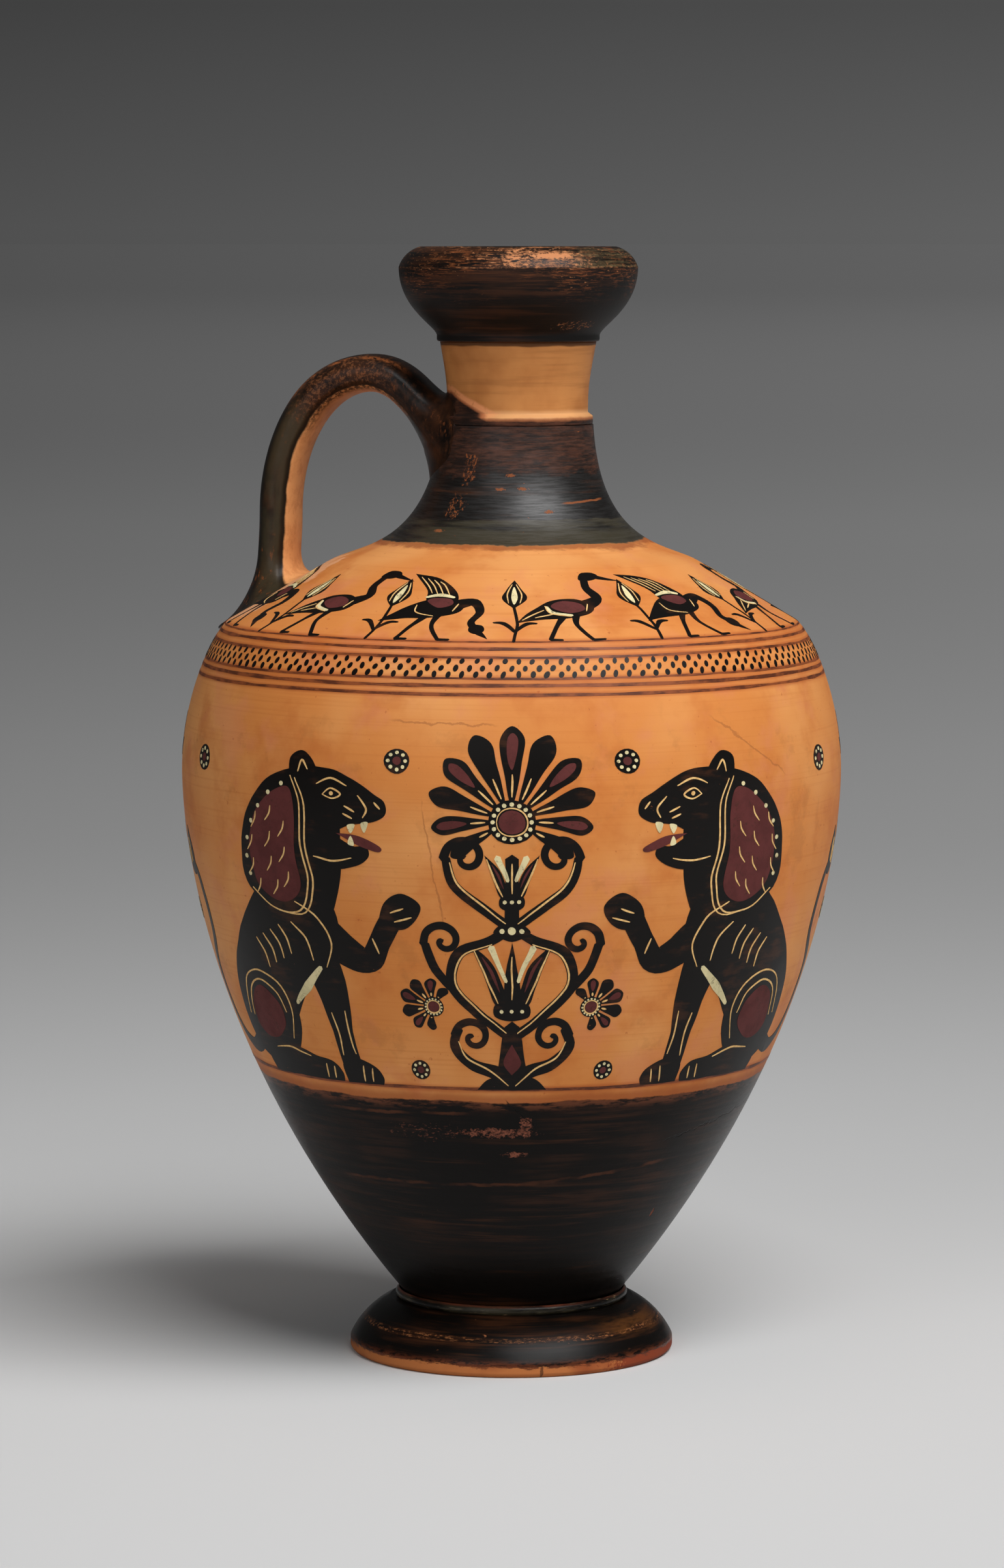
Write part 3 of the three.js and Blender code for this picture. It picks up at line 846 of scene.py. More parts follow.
def neck_look():
    look = Look("reserved_neck_clay", 0.15)
    wiped = look.noise(2.0, 4, 0.6, (10, 0.5), 17)
    soft = look.noise(7, 3, 0.5, seed=19).step(0.36, 0.66)
    colour = mix(soft, rgb(188, 126, 70), rgb(169, 108, 57))
    colour = mix(wiped.step(0.46, 0.70) * 0.4, colour, rgb(140, 87, 45))
    drawn = look.z + look.noise(5, 2, 0.5, seed=18).sway(0.5)
    colour = mix(drawn.step(neck_top - 0.75, neck_top - 0.45) * 0.85, colour, GLOSS_BROWN)
    # painted highlight: a pale band along the top of the ledge, where the light catches it
    ledge = drawn.step(150.0, 149.2) * drawn.step(147.7, 148.2)
    colour = mix(ledge * 0.55, colour, rgb(226, 172, 118))
    # the black of the handle's root, with a brown edge and a pale rim, the rim a painted highlight along
    # the root's raised edge
    above, web = root_web(look, look.noise(2.6, 5, 0.7, (2, 1), 78).sway(0.8))
    # painted highlight on the root's raised edge
    rim = above.step(1.7, 1.1) * abs(look.arc(HANDLE_SIDE)).step(19, 15)
    rim *= look.noise(1.5, 4, 0.65, seed=90).step(0.30, 0.50)
    colour = mix(rim * 0.8, colour, rgb(222, 146, 98))
    colour = mix(above.step(0.7, 0.2) * 0.7, colour, rgb(132, 66, 38))
    colour = mix(web, colour, matt_brown(look))
    return look.finish(colour, blend(web, blend(wiped, 0.42, 0.6), 0.45), rings_height(look), 0.1)


def mouth_brown(look, bevel, under, aside, streak, clouds):
    """The mouth's gloss with its brown streaks and strokes, and how brown it is."""
    mottled = look.noise(0.45, 4, 0.7, (1.8, 1), 84).step(0.42, 0.66)
    brown = bevel * streak.step(0.44, 0.66) * blend(mottled, 0.35, 1.0) * blend(aside, 0.4, 1.0)
    brown |= under * streak.step(0.50, 0.66) * 0.6
    colour = mix(brown * 0.6, gloss_colour(look, 0.03), rgb(92, 50, 27))
    strokes = look.noise(0.4, 5, 0.72, (6, 0.6), 96).step(0.50, 0.62)
    strokes = strokes * clouds.step(0.36, 0.60) * (bevel | under)
    colour = mix(strokes * 0.6, colour, rgb(132, 74, 40))
    # a grey-olive patch on the bevel's right side
    grey_olive_patch = bevel * look.spot(64, mouth_top - 2.2, 13, 3.2, 0.9, grain=2.2, seed=22)
    grey_olive_patch = grey_olive_patch * streak.step(0.40, 0.64) * blend(mottled, 0.3, 0.75)
    return mix(grey_olive_patch, colour, rgb(104, 92, 64)), brown, mottled


def mouth_patch(look, streak):
    """The mouth's long rubbed patch on the bevel."""
    crumbs = look.noise(0.42, 5, 0.72, (2.4, 0.8), 85).step(0.42, 0.58)
    patch = look.spot(-1, mouth_top - 1.7, 2.6, 1.3, 1.3, grain=0.9, seed=23) * crumbs
    patch |= look.spot(17, mouth_top - 1.4, 3.2, 0.45, 1.5, grain=0.7, seed=86)
    wide = look.spot(8, mouth_top - 1.7, 9.5, 1.6, 1.0, grain=1.2, seed=24) * crumbs
    return patch | wide * streak.step(0.42, 0.56) * 0.8


def mouth_look():
    look = Look("worn_mouth_gloss", 0.16)
    crease = mouth_low + MOUTH_CREASE_HEIGHT
    streak = look.noise(0.9, 5, 0.68, (13, 0.4), 20)
    clouds = look.noise(5, 3, 0.55, (2, 0.8), 97)
    rub = look.noise(4, 5, 0.7, seed=21)
    bevel = look.z.step(crease - 0.1, crease + 0.2)
    under = look.z.step(crease - 6.5, crease - 0.5) * ~bevel
    aside = abs(look.bearing(14)).step(0.9, 0.4)
    colour, brown, mottled = mouth_brown(look, bevel, under, aside, streak, clouds)
    # rubbed down to the clay: the crease, the rim, a patch on the bevel and flecks
    edge = look.z + rub.sway(0.5)
    line = edge.step(crease - 0.22, crease) * edge.step(crease + 0.22, crease)
    rim = edge.step(mouth_top - 0.35, mouth_top - 0.05)
    bare = (line * 0.7 | rim) * streak.step(0.44, 0.62) * mottled
    grains = look.noise(0.36, 4, 0.72, (2.6, 0.8), 79)
    flecks = under * grains.step(0.62, 0.68) * clouds.step(0.40, 0.60)
    flecks |= bevel * grains.step(0.58, 0.65) * blend(aside, 0.35, 0.9)
    low_mark = look.spot(39, 162.9, 3.6, 0.7, 1.6, grain=0.7, seed=25)
    low_mark *= look.noise(0.34, 5, 0.72, (1.6, 0.8), 101).step(0.52, 0.60)
    bare = (bare | flecks * 0.7) | (mouth_patch(look, streak) | low_mark * 0.45)
    colour = mix(bare * 0.85, colour, rgb(200, 132, 86))
    inside = look.radius.step(12.8, 12.2) * look.z.step(mouth_top - 3.5, mouth_top - 8)
    colour = mix(inside, colour, rgb(136, 84, 50))
    gloss = blend(bevel, 0.52, blend(rub, 0.32, 0.44))
    return look.finish(colour, blend(bare | brown * 0.6, gloss, 0.6), rings_height(look), 0.12)


def foot_edge(look):
    """The bare clay of the foot's edge, reddened at the right, with one crack."""
    clay = look.noise(12, 3, 0.5, seed=28).step(0.42, 0.6)
    clay = mix(clay, rgb(178, 108, 60), rgb(146, 76, 42))
    clay = mix(look.spot(66, 1.4, 13, 2.6, 0.9, seed=81) * 0.85, clay, rgb(122, 46, 28))
    return mix(look.spot(10.5, 0.9, 0.28, 0.9, 0.9, 0.4, 0.5, 82) * 0.7, clay, rgb(48, 28, 20))


def foot_look():
    look = Look("foot_gloss_and_edge", 0.11)
    rub = look.noise(4.5, 5, 0.68, (2.5, 1), 26)
    streak = look.noise(0.8, 4, 0.65, (18, 0.4), 27)
    z = look.z + rub.sway(1.0)
    # brown streaks, a worn line and an ochre patch
    broad = z.step(3.9, 4.9) * z.step(7.2, 5.6) * streak.step(0.44, 0.62)
    broad *= blend(look.bearing(0).step(-1.2, -0.5), 0.15, 1.0)
    colour = mix(broad * 0.55, gloss_colour(look, 0.02), rgb(74, 42, 24))
    worn = z.step(5.0, 5.3) * z.step(6.0, 5.6) * streak.step(0.40, 0.56)
    worn *= look.noise(0.4, 4, 0.7, (2.2, 0.8), 87).step(0.50, 0.60)
    colour = mix(worn * 0.8, colour, rgb(150, 96, 58))
    ochre = abs(look.arc(60)).step(12, 3) * abs(look.z - 6.0).step(1.9, 0.4)
    ochre *= look.noise(1.1, 5, 0.7, (7, 0.8), 80).step(0.36, 0.60)
    colour = mix(ochre * 0.6, colour, rgb(100, 60, 27))
    # the nibbled border of the bare edge
    nibble = look.noise(0.7, 5, 0.72, (3.5, 0.8), 113)
    border = z + nibble.sway(2.2)
    colour = mix(border.step(3.0, 1.9) * nibble.step(0.40, 0.58) * 0.75, colour, rgb(112, 58, 34))
    edge = border.step(1.85, 1.5)
    colour = mix(edge, colour, foot_edge(look))
    bare = look.noise(1.3, 5, 0.7, (2, 0.8), 29).step(0.69, 0.72) * ~edge
    colour = mix(bare * 0.8, colour, rgb(160, 98, 60))
    return look.finish(colour, blend(edge | bare, blend(rub, 0.28, 0.42), 0.66), rings_height(look), 0.12)


def bead_look():
    look = Look("bead_gloss", 0.18)
    colour = mix(look.noise(3, 4, 0.6, (4, 1), 30).step(0.45, 0.65), GLOSS, GLOSS_OLIVE)
    seam = look.z.step(foot_top + BEAD_HEIGHT - 0.40, foot_top + BEAD_HEIGHT - 0.1)
    broken = look.noise(0.9, 4, 0.65, (9, 0.8), 114).step(0.42, 0.60)
    colour = mix(seam * blend(broken, 0.15, 0.95), colour, rgb(104, 54, 36))
    scrape = look.noise(0.34, 4, 0.7, (12, 0.8), 115).step(0.56, 0.64)
    colour = mix(scrape * 0.45, colour, rgb(112, 98, 78))
    bare = look.noise(1.4, 5, 0.7, (4, 0.7), 31).step(0.64, 0.68)
    colour = mix(bare * 0.8, colour, rgb(158, 128, 92))
    return look.finish(colour, blend(bare, 0.36, 0.65), rings_height(look), 0.1)


def handle_black(look, section, along, limb, grain):
    """The strap's gloss: brown patches, freckles on the arch, olive and black down the limb."""
    patches = look.noise(8, 4, 0.6, seed=35)
    black = mix(patches.step(0.38, 0.64) * 0.8, GLOSS, GLOSS_BROWN)
    mottle = look.noise(1.0, 5, 0.7, (1, 1.6), 92).step(0.46, 0.66)
    black = mix(mottle * 0.45, black, rgb(74, 44, 26))
    freckled = grain.step(0.49, 0.59) * patches.step(0.36, 0.54)
    freckled = freckled * along.step(0.58, 0.42) * along.step(0.12, 0.30)
    black = mix(freckled * 0.65, black, rgb(124, 76, 46))
    olive = limb * look.noise(4, 4, 0.6, (1, 3), 37).step(0.30, 0.55)
    black = mix(olive * 0.75, black, rgb(62, 54, 38))
    return mix(section.step(0.25, 0.7) * limb * 0.85, black, GLOSS)


def handle_wear(look, section, along, grain):
    """A worn line where the strap's back turns to its sides, scuffs, and rust low down."""
    fine = look.noise(1.0, 5, 0.7, (1, 2.4), 34)
    line = abs(section - 0.80).step(0.13, 0.03) * grain.step(0.40, 0.52) * along.step(0.52, 0.40)
    line = line * look.noise(6, 3, 0.6, seed=36).step(0.36, 0.52) * along.step(0.18, 0.26)
    scuff = abs(section - 0.05).step(0.6, 0.1) * fine.step(0.57, 0.70) * along.step(0.62, 0.5) * 0.6
    rust = along.step(0.72, 0.84) * fine.step(0.56, 0.66) * section.step(-0.3, 0.1) * 0.8
    return line | (scuff * 0.8 | rust)


def handle_look():
    look = Look("handle_gloss_and_clay", 0.16)
    section, along = (look.value("Attribute", None, "Fac", attribute_name=n) for n in ("section", "along"))
    rub = look.noise(2.4, 5, 0.68, seed=33)
    grain = look.noise(0.6, 5, 0.74, seed=102)
    limb = along.step(0.42, 0.52)
    worn = handle_wear(look, section, along, grain)
    rusty = mix(limb, rgb(172, 98, 52), rgb(150, 80, 34))
    colour = mix(worn * 0.75, handle_black(look, section, along, limb, grain), rusty)
    # the inner side keeps its bare clay, behind a dark line and a soft brown border; the dark line is
    # painted shade in its groove, and the clay carries painted shade under the arch, most at its inner
    # edge
    wander = look.noise(7, 3, 0.55, seed=38).sway(0.22) + rub.sway(0.10)
    arch = along.step(0.10, 0.20)
    place = section + wander + limb * 0.04
    bare = place.step(-0.54, -0.64) * arch
    border = place.step(-0.30, -0.52)
    clay = mix(rub.step(0.42, 0.66) * 0.5, rgb(224, 156, 98), rgb(186, 112, 62))
    # painted shade under the arch: the inner clay darker along the arch than on the limb, mottled and
    # darkest towards the inner edge
    under = mix(~limb * 0.6, clay, rgb(170, 106, 58))
    shade_under_arch = along.step(0.56, 0.44) * place.step(-0.92, -0.70) * grain.step(0.60, 0.46)
    under = mix(shade_under_arch * 0.9, under, rgb(50, 31, 20))
    # painted shade in the groove: the black darkened along its edge by the bare clay
    colour = mix(border * ~bare * arch * 0.8, colour, rgb(24, 16, 12))
    matt = blend(bare | worn, blend(rub, 0.30, 0.44), 0.6)
    height = rings_height(look) + border * ~bare * -0.6
    return look.finish(mix(bare, colour, under), matt, height, 0.15)


def painted_black_look():
    """The figures' gloss: black, browner where the brush ran dry, and flaked here and there."""
    look = Look("painted_gloss", 0.15)
    patches = look.noise(7, 4, 0.6, seed=40)
    streaks = look.noise(1.2, 4, 0.62, (5, 0.8), 41)
    thin = (patches * 0.6 + streaks * 0.4).step(0.52, 0.66)
    bare = look.noise(1.6, 5, 0.7, seed=42).step(0.715, 0.735)
    colour = mix(bare * 0.8, mix(thin * 0.75, GLOSS, GLOSS_BROWN), rgb(176, 104, 58))
    return look.finish(colour, blend(bare, blend(patches, 0.34, 0.48), 0.6), streaks * 0.6 + ~bare, 0.03)


def added_colour_look(name, colour, low, high):
    """Matt colour laid over the gloss, with fine cracks, dirt and rubbed places."""
    look = Look(name, 0.15)
    clouds = look.noise(4, 4, 0.6, seed=44)
    rubbed = look.noise(1.3, 5, 0.7, seed=45)
    line = ~abs(look.noise(2.4, 2, 0.5, seed=46, warp=1.2) - 0.5).step(0.0, 0.012)
    dull = tuple(0.72 * v for v in colour[:3]) + (1.0,)
    shade = mix(clouds.step(0.42, 0.62) * 0.7, colour, dull)
    shade = mix(line * 0.45 | rubbed.step(low, high) * 0.6, shade, rgb(58, 36, 26))
    return look.finish(shade, blend(clouds, 0.55, 0.75), rubbed, 0.03)


def scratched_look():
    look = Look("scratched_clay", 0.15)
    grain = look.noise(0.7, 4, 0.6, seed=48)
    colour = mix(grain.step(0.35, 0.65), rgb(206, 160, 100), rgb(232, 192, 128))
    return look.finish(colour, blend(grain, 0.5, 0.7), grain, 0.02)


def line_look():
    """Thinned gloss of the wheel lines: brown, darker where the brush was full."""
    look = Look("thinned_gloss_lines", 0.2)
    full = look.noise(5, 4, 0.65, (1, 0.3), 50)
    colour = mix(full.step(0.40, 0.62), rgb(136, 72, 38), rgb(84, 42, 24))
    return look.finish(colour, blend(full, 0.42, 0.55), full, 0.02)


# drawing: flat shapes in millimetres, x along the band and y up it


def pairs(numbers):
    """Points from numbers listed x, y, x, y. Points already made stay as they are."""
    return numbers if isinstance(numbers[0], tuple) else list(zip(numbers[::2], numbers[1::2]))


def smooth(points, closed=False, steps=6):
    """A smooth line through points. A point given twice in a row is a corner."""
    out = []
    count = len(points)
    for i in range(count if closed else count - 1):
        b, c = points[i], points[(i + 1) % count]
        if b == c:
            continue
        a = points[i - 1] if closed or i else b
        d = points[(i + 2) % count] if closed or i + 2 < count else c
        for k in range(steps):
            t = k / steps
            weights = (-t + 2 * t**2 - t**3, 2 - 5 * t**2 + 3 * t**3, t + 4 * t**2 - 3 * t**3, t**3 - t**2)
            out.append(tuple(sum(w * p[n] for w, p in zip(weights, (a, b, c, d))) / 2 for n in (0, 1)))
    if not closed:
        out.append(points[-1])
    return out


def beyond(a, b, reach):
    """The point that lies a reach past b on the way from a."""
    share = reach / (math.dist(a, b) or 1.0)
    return (b[0] + (b[0] - a[0]) * share, b[1] + (b[1] - a[1]) * share)


def stroke(points, widths):
    """The outline of a brush stroke whose width changes along it."""
    line = smooth(points)
    left, right = [], []
    last = len(line) - 1
    for i, p in enumerate(line):
        a, b = line[max(0, i - 1)], line[min(last, i + 1)]
        length = math.dist(a, b) or 1.0
        t = i / last * (len(widths) - 1)
        k = min(int(t), len(widths) - 2)
        half = (widths[k] + (widths[k + 1] - widths[k]) * (t - k)) / 2
        nx, ny = -(b[1] - a[1]) / length * half, (b[0] - a[0]) / length * half
        left.append((p[0] + nx, p[1] + ny))
        right.append((p[0] - nx, p[1] - ny))
    left.append(beyond(line[-2], line[-1], widths[-1] * 0.4))
    right.insert(0, beyond(line[1], line[0], widths[0] * 0.4))
    return left + right[::-1]


def arc_line(x, y, radius, start, end, count):
    """Points on a circle, angles in degrees."""
    angles = [math.radians(start + (end - start) * k / (count - 1)) for k in range(count)]
    return [(x + radius * math.cos(a), y + radius * math.sin(a)) for a in angles]


def disc(x, y, radius, corners):
    return arc_line(x, y, radius, 0, 360, corners + 1)[:-1]


def spiral(x, y, radius, turns, start, way=1, thick=(1.3, 0.8)):
    """A tendril's curl, from its outer end at angle start inwards to x, y."""
    count = int(10 * turns) + 2
    points = []
    for k in range(count):
        t = k / (count - 1)
        r = radius * (1 - t) ** 0.9 + 0.25
        a = math.radians(start + way * 360 * turns * t)
        points.append((x + r * math.cos(a), y + r * math.sin(a)))
    return stroke(points, thick)


class Drawing:
    """Shapes by colour: black gloss, added red and white, and lines scratched through to clay."""

    COLOURS = ("black", "red", "white", "cut")

    def __init__(self):
        self.shapes = {colour: [] for colour in self.COLOURS}

    def fill(self, colour, shape):
        self.shapes[colour].append(shape)

    def blob(self, colour, *numbers):
        """A closed shape with a smooth outline through points."""
        self.fill(colour, smooth(pairs(numbers), closed=True))

    def line(self, colour, widths, *numbers):
        """A brush stroke through points."""
        self.fill(colour, stroke(pairs(numbers), widths))

    def cut(self, *lines, width=0.28):
        """Scratched lines."""
        for numbers in lines:
            self.line("cut", (width * 0.5, width, width, width * 0.5), *numbers)

    def dots(self, colour, radius, *numbers, corners=8):
        for x, y in pairs(numbers):
            self.fill(colour, disc(x, y, radius, corners))

    def put(self, other, x=0.0, y=0.0, scale=1.0, turn=0.0, mirror=False):
        """Adds another drawing, moved, scaled, turned by degrees and mirrored."""
        c, s = math.cos(math.radians(turn)) * scale, math.sin(math.radians(turn)) * scale
        flip = -1 if mirror else 1
        for colour, shapes in other.shapes.items():
            for shape in shapes:
                moved_shape = [(x + flip * (px * c - py * s), y + px * s + py * c) for px, py in shape]
                self.fill(colour, moved_shape)
        return self


def palmette(petals, radius, spread, heart):
    """A fan of petals round a red heart with a white rim, opening upwards."""
    d = Drawing()
    for k in range(petals):
        share = k / (petals - 1) - 0.5
        angle = math.radians(90 - share * spread)
        length = radius * (1 - 0.30 * abs(share * 2) ** 1.6)
        width = length * 2.6 / petals
        droop = -share * abs(share) * radius * 0.5
        c, s = math.cos(angle), math.sin(angle)

        def at(along, across):
            across += droop * (along / length) ** 2
            return (c * along - s * across, s * along + c * across)

        outer = (0.62, 0.40), (0.86, 0.52), (1, 0), (0.86, -0.52), (0.62, -0.40)
        d.blob("black", at(heart * 0.8, 0), *(at(length * a, width * b) for a, b in outer))
        inner = (0.55, 0), (0.70, 0.20), (0.86, 0.22), (0.93, 0), (0.86, -0.22), (0.70, -0.20)
        if k % 2:
            d.blob("red", *(at(length * a, width * b) for a, b in inner))
        d.cut([at(heart * 1.25, 0), at(length * 0.5, 0)])
    d.dots("black", heart * 1.12, 0, 0, corners=20)
    d.dots("red", heart * 0.62, 0, 0, corners=16)
    d.dots("white", heart * 0.11, *disc(0, 0, heart * 0.9, 16), corners=7)
    d.cut(arc_line(0, 0, heart * 0.72, -180, 180, 16), width=0.22)
    return d


def lotus(height, width):
    """An open lotus: three long sepals, small petals between them, and a cup."""
    d = Drawing()
    h, w = height, width / 2
    for side in (-w, w):
        d.blob("black", 0, 0, 0, 0, side * 0.42, h * 0.12, side * 0.62, h * 0.42,
               side * 0.98, h * 0.98, side * 0.98, h * 0.98, side * 0.50, h * 0.72, side * 0.20, h * 0.34)
        d.blob("red", side * 0.30, h * 0.30, side * 0.48, h * 0.50, side * 0.72, h * 0.80,
               side * 0.46, h * 0.58)
        d.line("white", (0.5, 1), side * 0.15, h * 0.45, side * 0.50, h * 0.93)
        d.cut([side * 0.34, h * 0.14, side * 0.60, h * 0.46, side * 0.90, h * 0.90])
    d.blob("black", 0, 0, 0, 0, w * 0.20, h * 0.34, 0, h, 0, h, -w * 0.20, h * 0.34)
    d.cut([0, h * 0.2, 0, h * 0.8])
    d.blob("black", -w * 0.44, -0.6, 0, -1.4, w * 0.44, -0.6, w * 0.36, h * 0.14, -w * 0.36, h * 0.14)
    d.dots("white", 0.32, -w * 0.26, h * 0.02, 0, h * 0.02, w * 0.26, h * 0.02, corners=7)
    return d


def rosette(radius):
    d = Drawing()
    d.dots("black", radius, 0, 0, corners=18)
    d.dots("red", radius * 0.34, 0, 0, corners=12)
    d.dots("white", radius * 0.15, *disc(0, 0, radius * 0.68, 8))
    return d


def lotus_tree():
    """The plant between the lions: crossing tendrils, a lotus, and a palmette on top."""
    d = Drawing()
    half = Drawing()
    half.line("black", (2.8, 2, 1.4), 0, 1.8, 3.2, 3.2, 7, 4.6, 9.6, 7.6, 8.6, 10.6)
    half.fill("black", spiral(6.4, 9.2, 2.9, 1.15, 5))
    half.line("black", (1.6, 1.8, 1.5), 0, 9, 5.4, 13.2, 9.2, 18, 8, 23, 3.2, 25.2, 0, 27.5)
    half.line("black", (1.4, 1.3), 8.8, 17, 11.8, 20.4, 13, 24.4)
    half.fill("black", spiral(10.2, 25, 2.9, 1.1, -10))
    half.put(palmette(7, 5.6, 190, 1.5), 12.6, 14.2, turn=-68)
    half.line("black", (1.6, 1.6, 1.2), 0, 27, 4.6, 30.6, 8.4, 34, 9.4, 38)
    half.fill("black", spiral(6.6, 38.2, 2.9, 1.15, -5))
    half.cut([0.6, 0.8, 4, 3.6, 7.6, 5.6, 8.9, 8.4])
    half.cut([0.9, 10, 5.2, 13.7, 8.6, 18.2, 7.5, 22.6, 3, 24.6])
    half.cut([0.9, 27.9, 4.4, 30.9, 7.9, 34.2, 8.9, 37.4])
    d.line("black", (5.4, 2.4), 0, 2.4, 0, 11)
    d.blob("black", -6.2, 0, -6.2, 0, 6.2, 0, 6.2, 0, 4, 1.9, 0, 2.6, -4, 1.9)
    d.put(half).put(half, mirror=True)
    d.blob("red", 0, 2.6, 0, 2.6, 1.5, 4.8, 0, 8, 0, 8, -1.5, 4.8)
    d.put(lotus(11.5, 12.5), 0, 13.4)
    d.line("black", (2.2, 1.8), 0, 26, 0, 38)
    d.blob("black", -2.8, 26.6, 0, 25, 2.8, 26.6, 0, 28.4)
    d.dots("white", 0.62, 0, 26.7, corners=14)
    d.dots("white", 0.4, -1.5, 26.7, 1.5, 26.7)
    d.put(lotus(7.5, 8), 0, 31.2)
    d.put(palmette(11, 14.4, 222, 3), 0, 43.6)
    return d


def lion():
    """A seated lion that faces right and lifts a forepaw."""
    d = Drawing()
    # tail, haunch and body
    d.line("black", (3.4, 2, 1.7, 1.5, 1.5), 8, 6, 1.5, 3.4, -4.4, 7, -5.6, 15.5, -1.6, 22.5, -2.6, 30,
           -6.6, 33.6)
    d.blob("black", -5.2, 31, -4.6, 34.5, -7.4, 38.6, -7.4, 38.6, -9.6, 34.6, -8.2, 31.6)
    d.blob("black", 4, 6, 4.6, 14, 8.6, 21, 14.6, 28, 20.6, 33.6, 26.6, 35.6, 32.4, 31, 33.6, 25,
           30.4, 19.6, 25.4, 15.4, 21, 10, 16, 4, 9, 2.6)
    d.blob("black", 4.2, 5, 5.4, 13, 10, 18.4, 16.6, 18.6, 21, 14.4, 21.4, 8.6, 17.4, 3.4, 9.6, 1.6)
    # hind foot, flat on the ground
    d.blob("black", 8.4, 0, 8.4, 0, 7.6, 2.6, 11, 5, 18, 5.4, 23, 4, 26.8, 3.4, 28.4, 1.6, 28.2, 0,
           28.2, 0)
    # standing foreleg and lifted foreleg
    d.line("black", (9, 6.4, 4.2, 4), 27, 27, 30.2, 17, 30.8, 9, 31.2, 2.2)
    d.blob("black", 29.2, 0, 29.2, 0, 29.2, 3.4, 32.6, 4.4, 36, 3, 37.2, 1.3, 36.8, 0, 36.8, 0)
    d.line("black", (7.4, 5.2, 4, 3.4, 3.6), 28.6, 27, 34.6, 22.6, 38.4, 21.4, 40.6, 24.6, 42.6, 28)
    d.blob("black", 41, 27.2, 41.6, 30.6, 44.6, 32.4, 47.2, 30.6, 46.6, 28.4, 44.4, 26.6)
    # mane and head
    d.blob("black", 16.4, 31.4, 15.6, 38, 17.6, 43.8, 22, 48.6, 27.4, 50.6, 32, 49.4, 35, 45, 35.4, 39,
           34.6, 33, 31.6, 27.2, 25, 27.6)
    d.blob("black", 28, 50.2, 33, 51, 37, 49.8, 40.6, 47.6, 42.4, 46.4, 42.6, 44.4, 40.8, 43.2,
           37.2, 42.6, 34.6, 41.4, 34.6, 41.4, 31, 41, 28.4, 44)
    d.blob("black", 29, 42, 33.8, 41.4, 33.8, 41.4, 37.2, 39.4, 39.4, 39.4, 39.8, 37.8, 37.6, 36.2,
           33.6, 35.6, 29.4, 36.6)
    d.blob("black", 27.2, 49, 26.6, 52.2, 28.8, 53.4, 31, 51.6, 31.2, 49.6)
    # red mane, tongue and haunch; white teeth and belly
    d.blob("red", 18.2, 33, 17.6, 38.6, 19.6, 43.6, 23.4, 47, 26.4, 47.6, 27.4, 44, 27, 38, 27.6, 32.4,
           24.4, 29.8, 20.6, 30.6)
    d.blob("red", 34.8, 41.2, 34.8, 41.2, 38.4, 40.9, 41.6, 39.4, 41.2, 38.6, 38.2, 39.5)
    d.blob("red", 8, 8.4, 9.6, 13.2, 13.2, 15, 17, 12.6, 17.4, 9, 14, 6.4, 10.2, 6.2)
    d.blob("white", 36.6, 42.5, 37.1, 41.3, 37.8, 42.7)
    d.blob("white", 38.8, 42.9, 39.3, 41.5, 40, 43.1)
    d.blob("white", 36.6, 39.7, 37.1, 40.9, 37.6, 39.5)
    d.line("white", (0.6, 1.5, 0.7), 22.2, 13, 25.6, 16.2, 29.2, 19.6)
    d.dots("white", 0.36, 17, 33.6, 16.7, 36.4, 17.2, 39.2, 18.4, 41.9, 20.2, 44.4, 22.4, 46.6, 25, 48.2)
    # scratched lines
    mane = pairs((26.8, 49.4, 28.4, 45.4, 28.2, 39, 29.2, 33.6, 27, 28.6, 21.6, 28.6, 17.2, 31.4))
    d.cut(mane, [(p[0] + 0.9, p[1] - 0.3) for p in mane[:6]])
    tufts = (19.6, 43.4, 18.4, 39.8, 18.2, 36.2, 19.4, 33, 22.8, 44.6, 22.4, 40.6, 22.4, 36.8, 23.2, 33.2,
             25.4, 42.4, 25.2, 38.4, 25.6, 34.6)
    for x, y in pairs(tufts):
        d.cut([x, y, x - 0.3, y - 1.2, x - 1.3, y - 2.4], width=0.24)
    d.cut([26, 30, 30, 27.6, 32, 23.6, 30.4, 19.8], [24.6, 26.6, 27.2, 24.2, 28, 20.6])
    for k in range(4):
        x, y = 15.6 + 2 * k, 23.2 + 0.9 * k
        d.cut([x, y, x + 1.5, y - 2.2, x + 1.9, y - 4.6])
    d.cut([6, 9.6, 8.6, 15.6, 13.4, 17.6, 18.4, 16, 20.2, 11.6, 18.4, 6.6])
    d.cut([7.4, 9.4, 9.4, 14.2, 13.4, 16, 17.2, 14.4, 18.6, 11])
    d.cut([12, 4.4, 17, 4.9, 21.6, 3.8], [24.6, 0.5, 25, 2.8], [26.4, 0.5, 26.8, 2.6])
    d.cut([33, 0.5, 33.4, 3.2], [34.8, 0.5, 35.2, 2.8])
    d.cut([42.6, 29.2, 44.6, 30], [43.2, 27.8, 45.8, 28.6], [40.2, 22.6, 39.4, 25])
    d.cut([29.4, 12, 30, 8.4, 29.8, 4.8], [32.2, 12.6, 32.2, 8.4, 32.6, 5.2])
    # face
    d.cut([32.6, 47, 34, 48, 35.6, 47.2, 34.2, 46.4, 32.6, 47], width=0.26)
    d.dots("cut", 0.34, 34.1, 47.2)
    d.cut([31.6, 48.6, 34, 49.5, 36.6, 48.5], [38.4, 47, 39.8, 45.2, 39.2, 43.8])
    d.cut([36.2, 45.4, 37.8, 44.6], [36, 44.2, 37.4, 43.6], [41, 46.2, 41.8, 45.2])
    d.cut([28.2, 50.2, 28.8, 52, 29.9, 50.6], [30.6, 37.4, 33.6, 36.9, 37, 37.5])
    d.cut([-6.2, 33, -7.4, 36.6], [-7.2, 32.6, -8.4, 35.2])
    return d


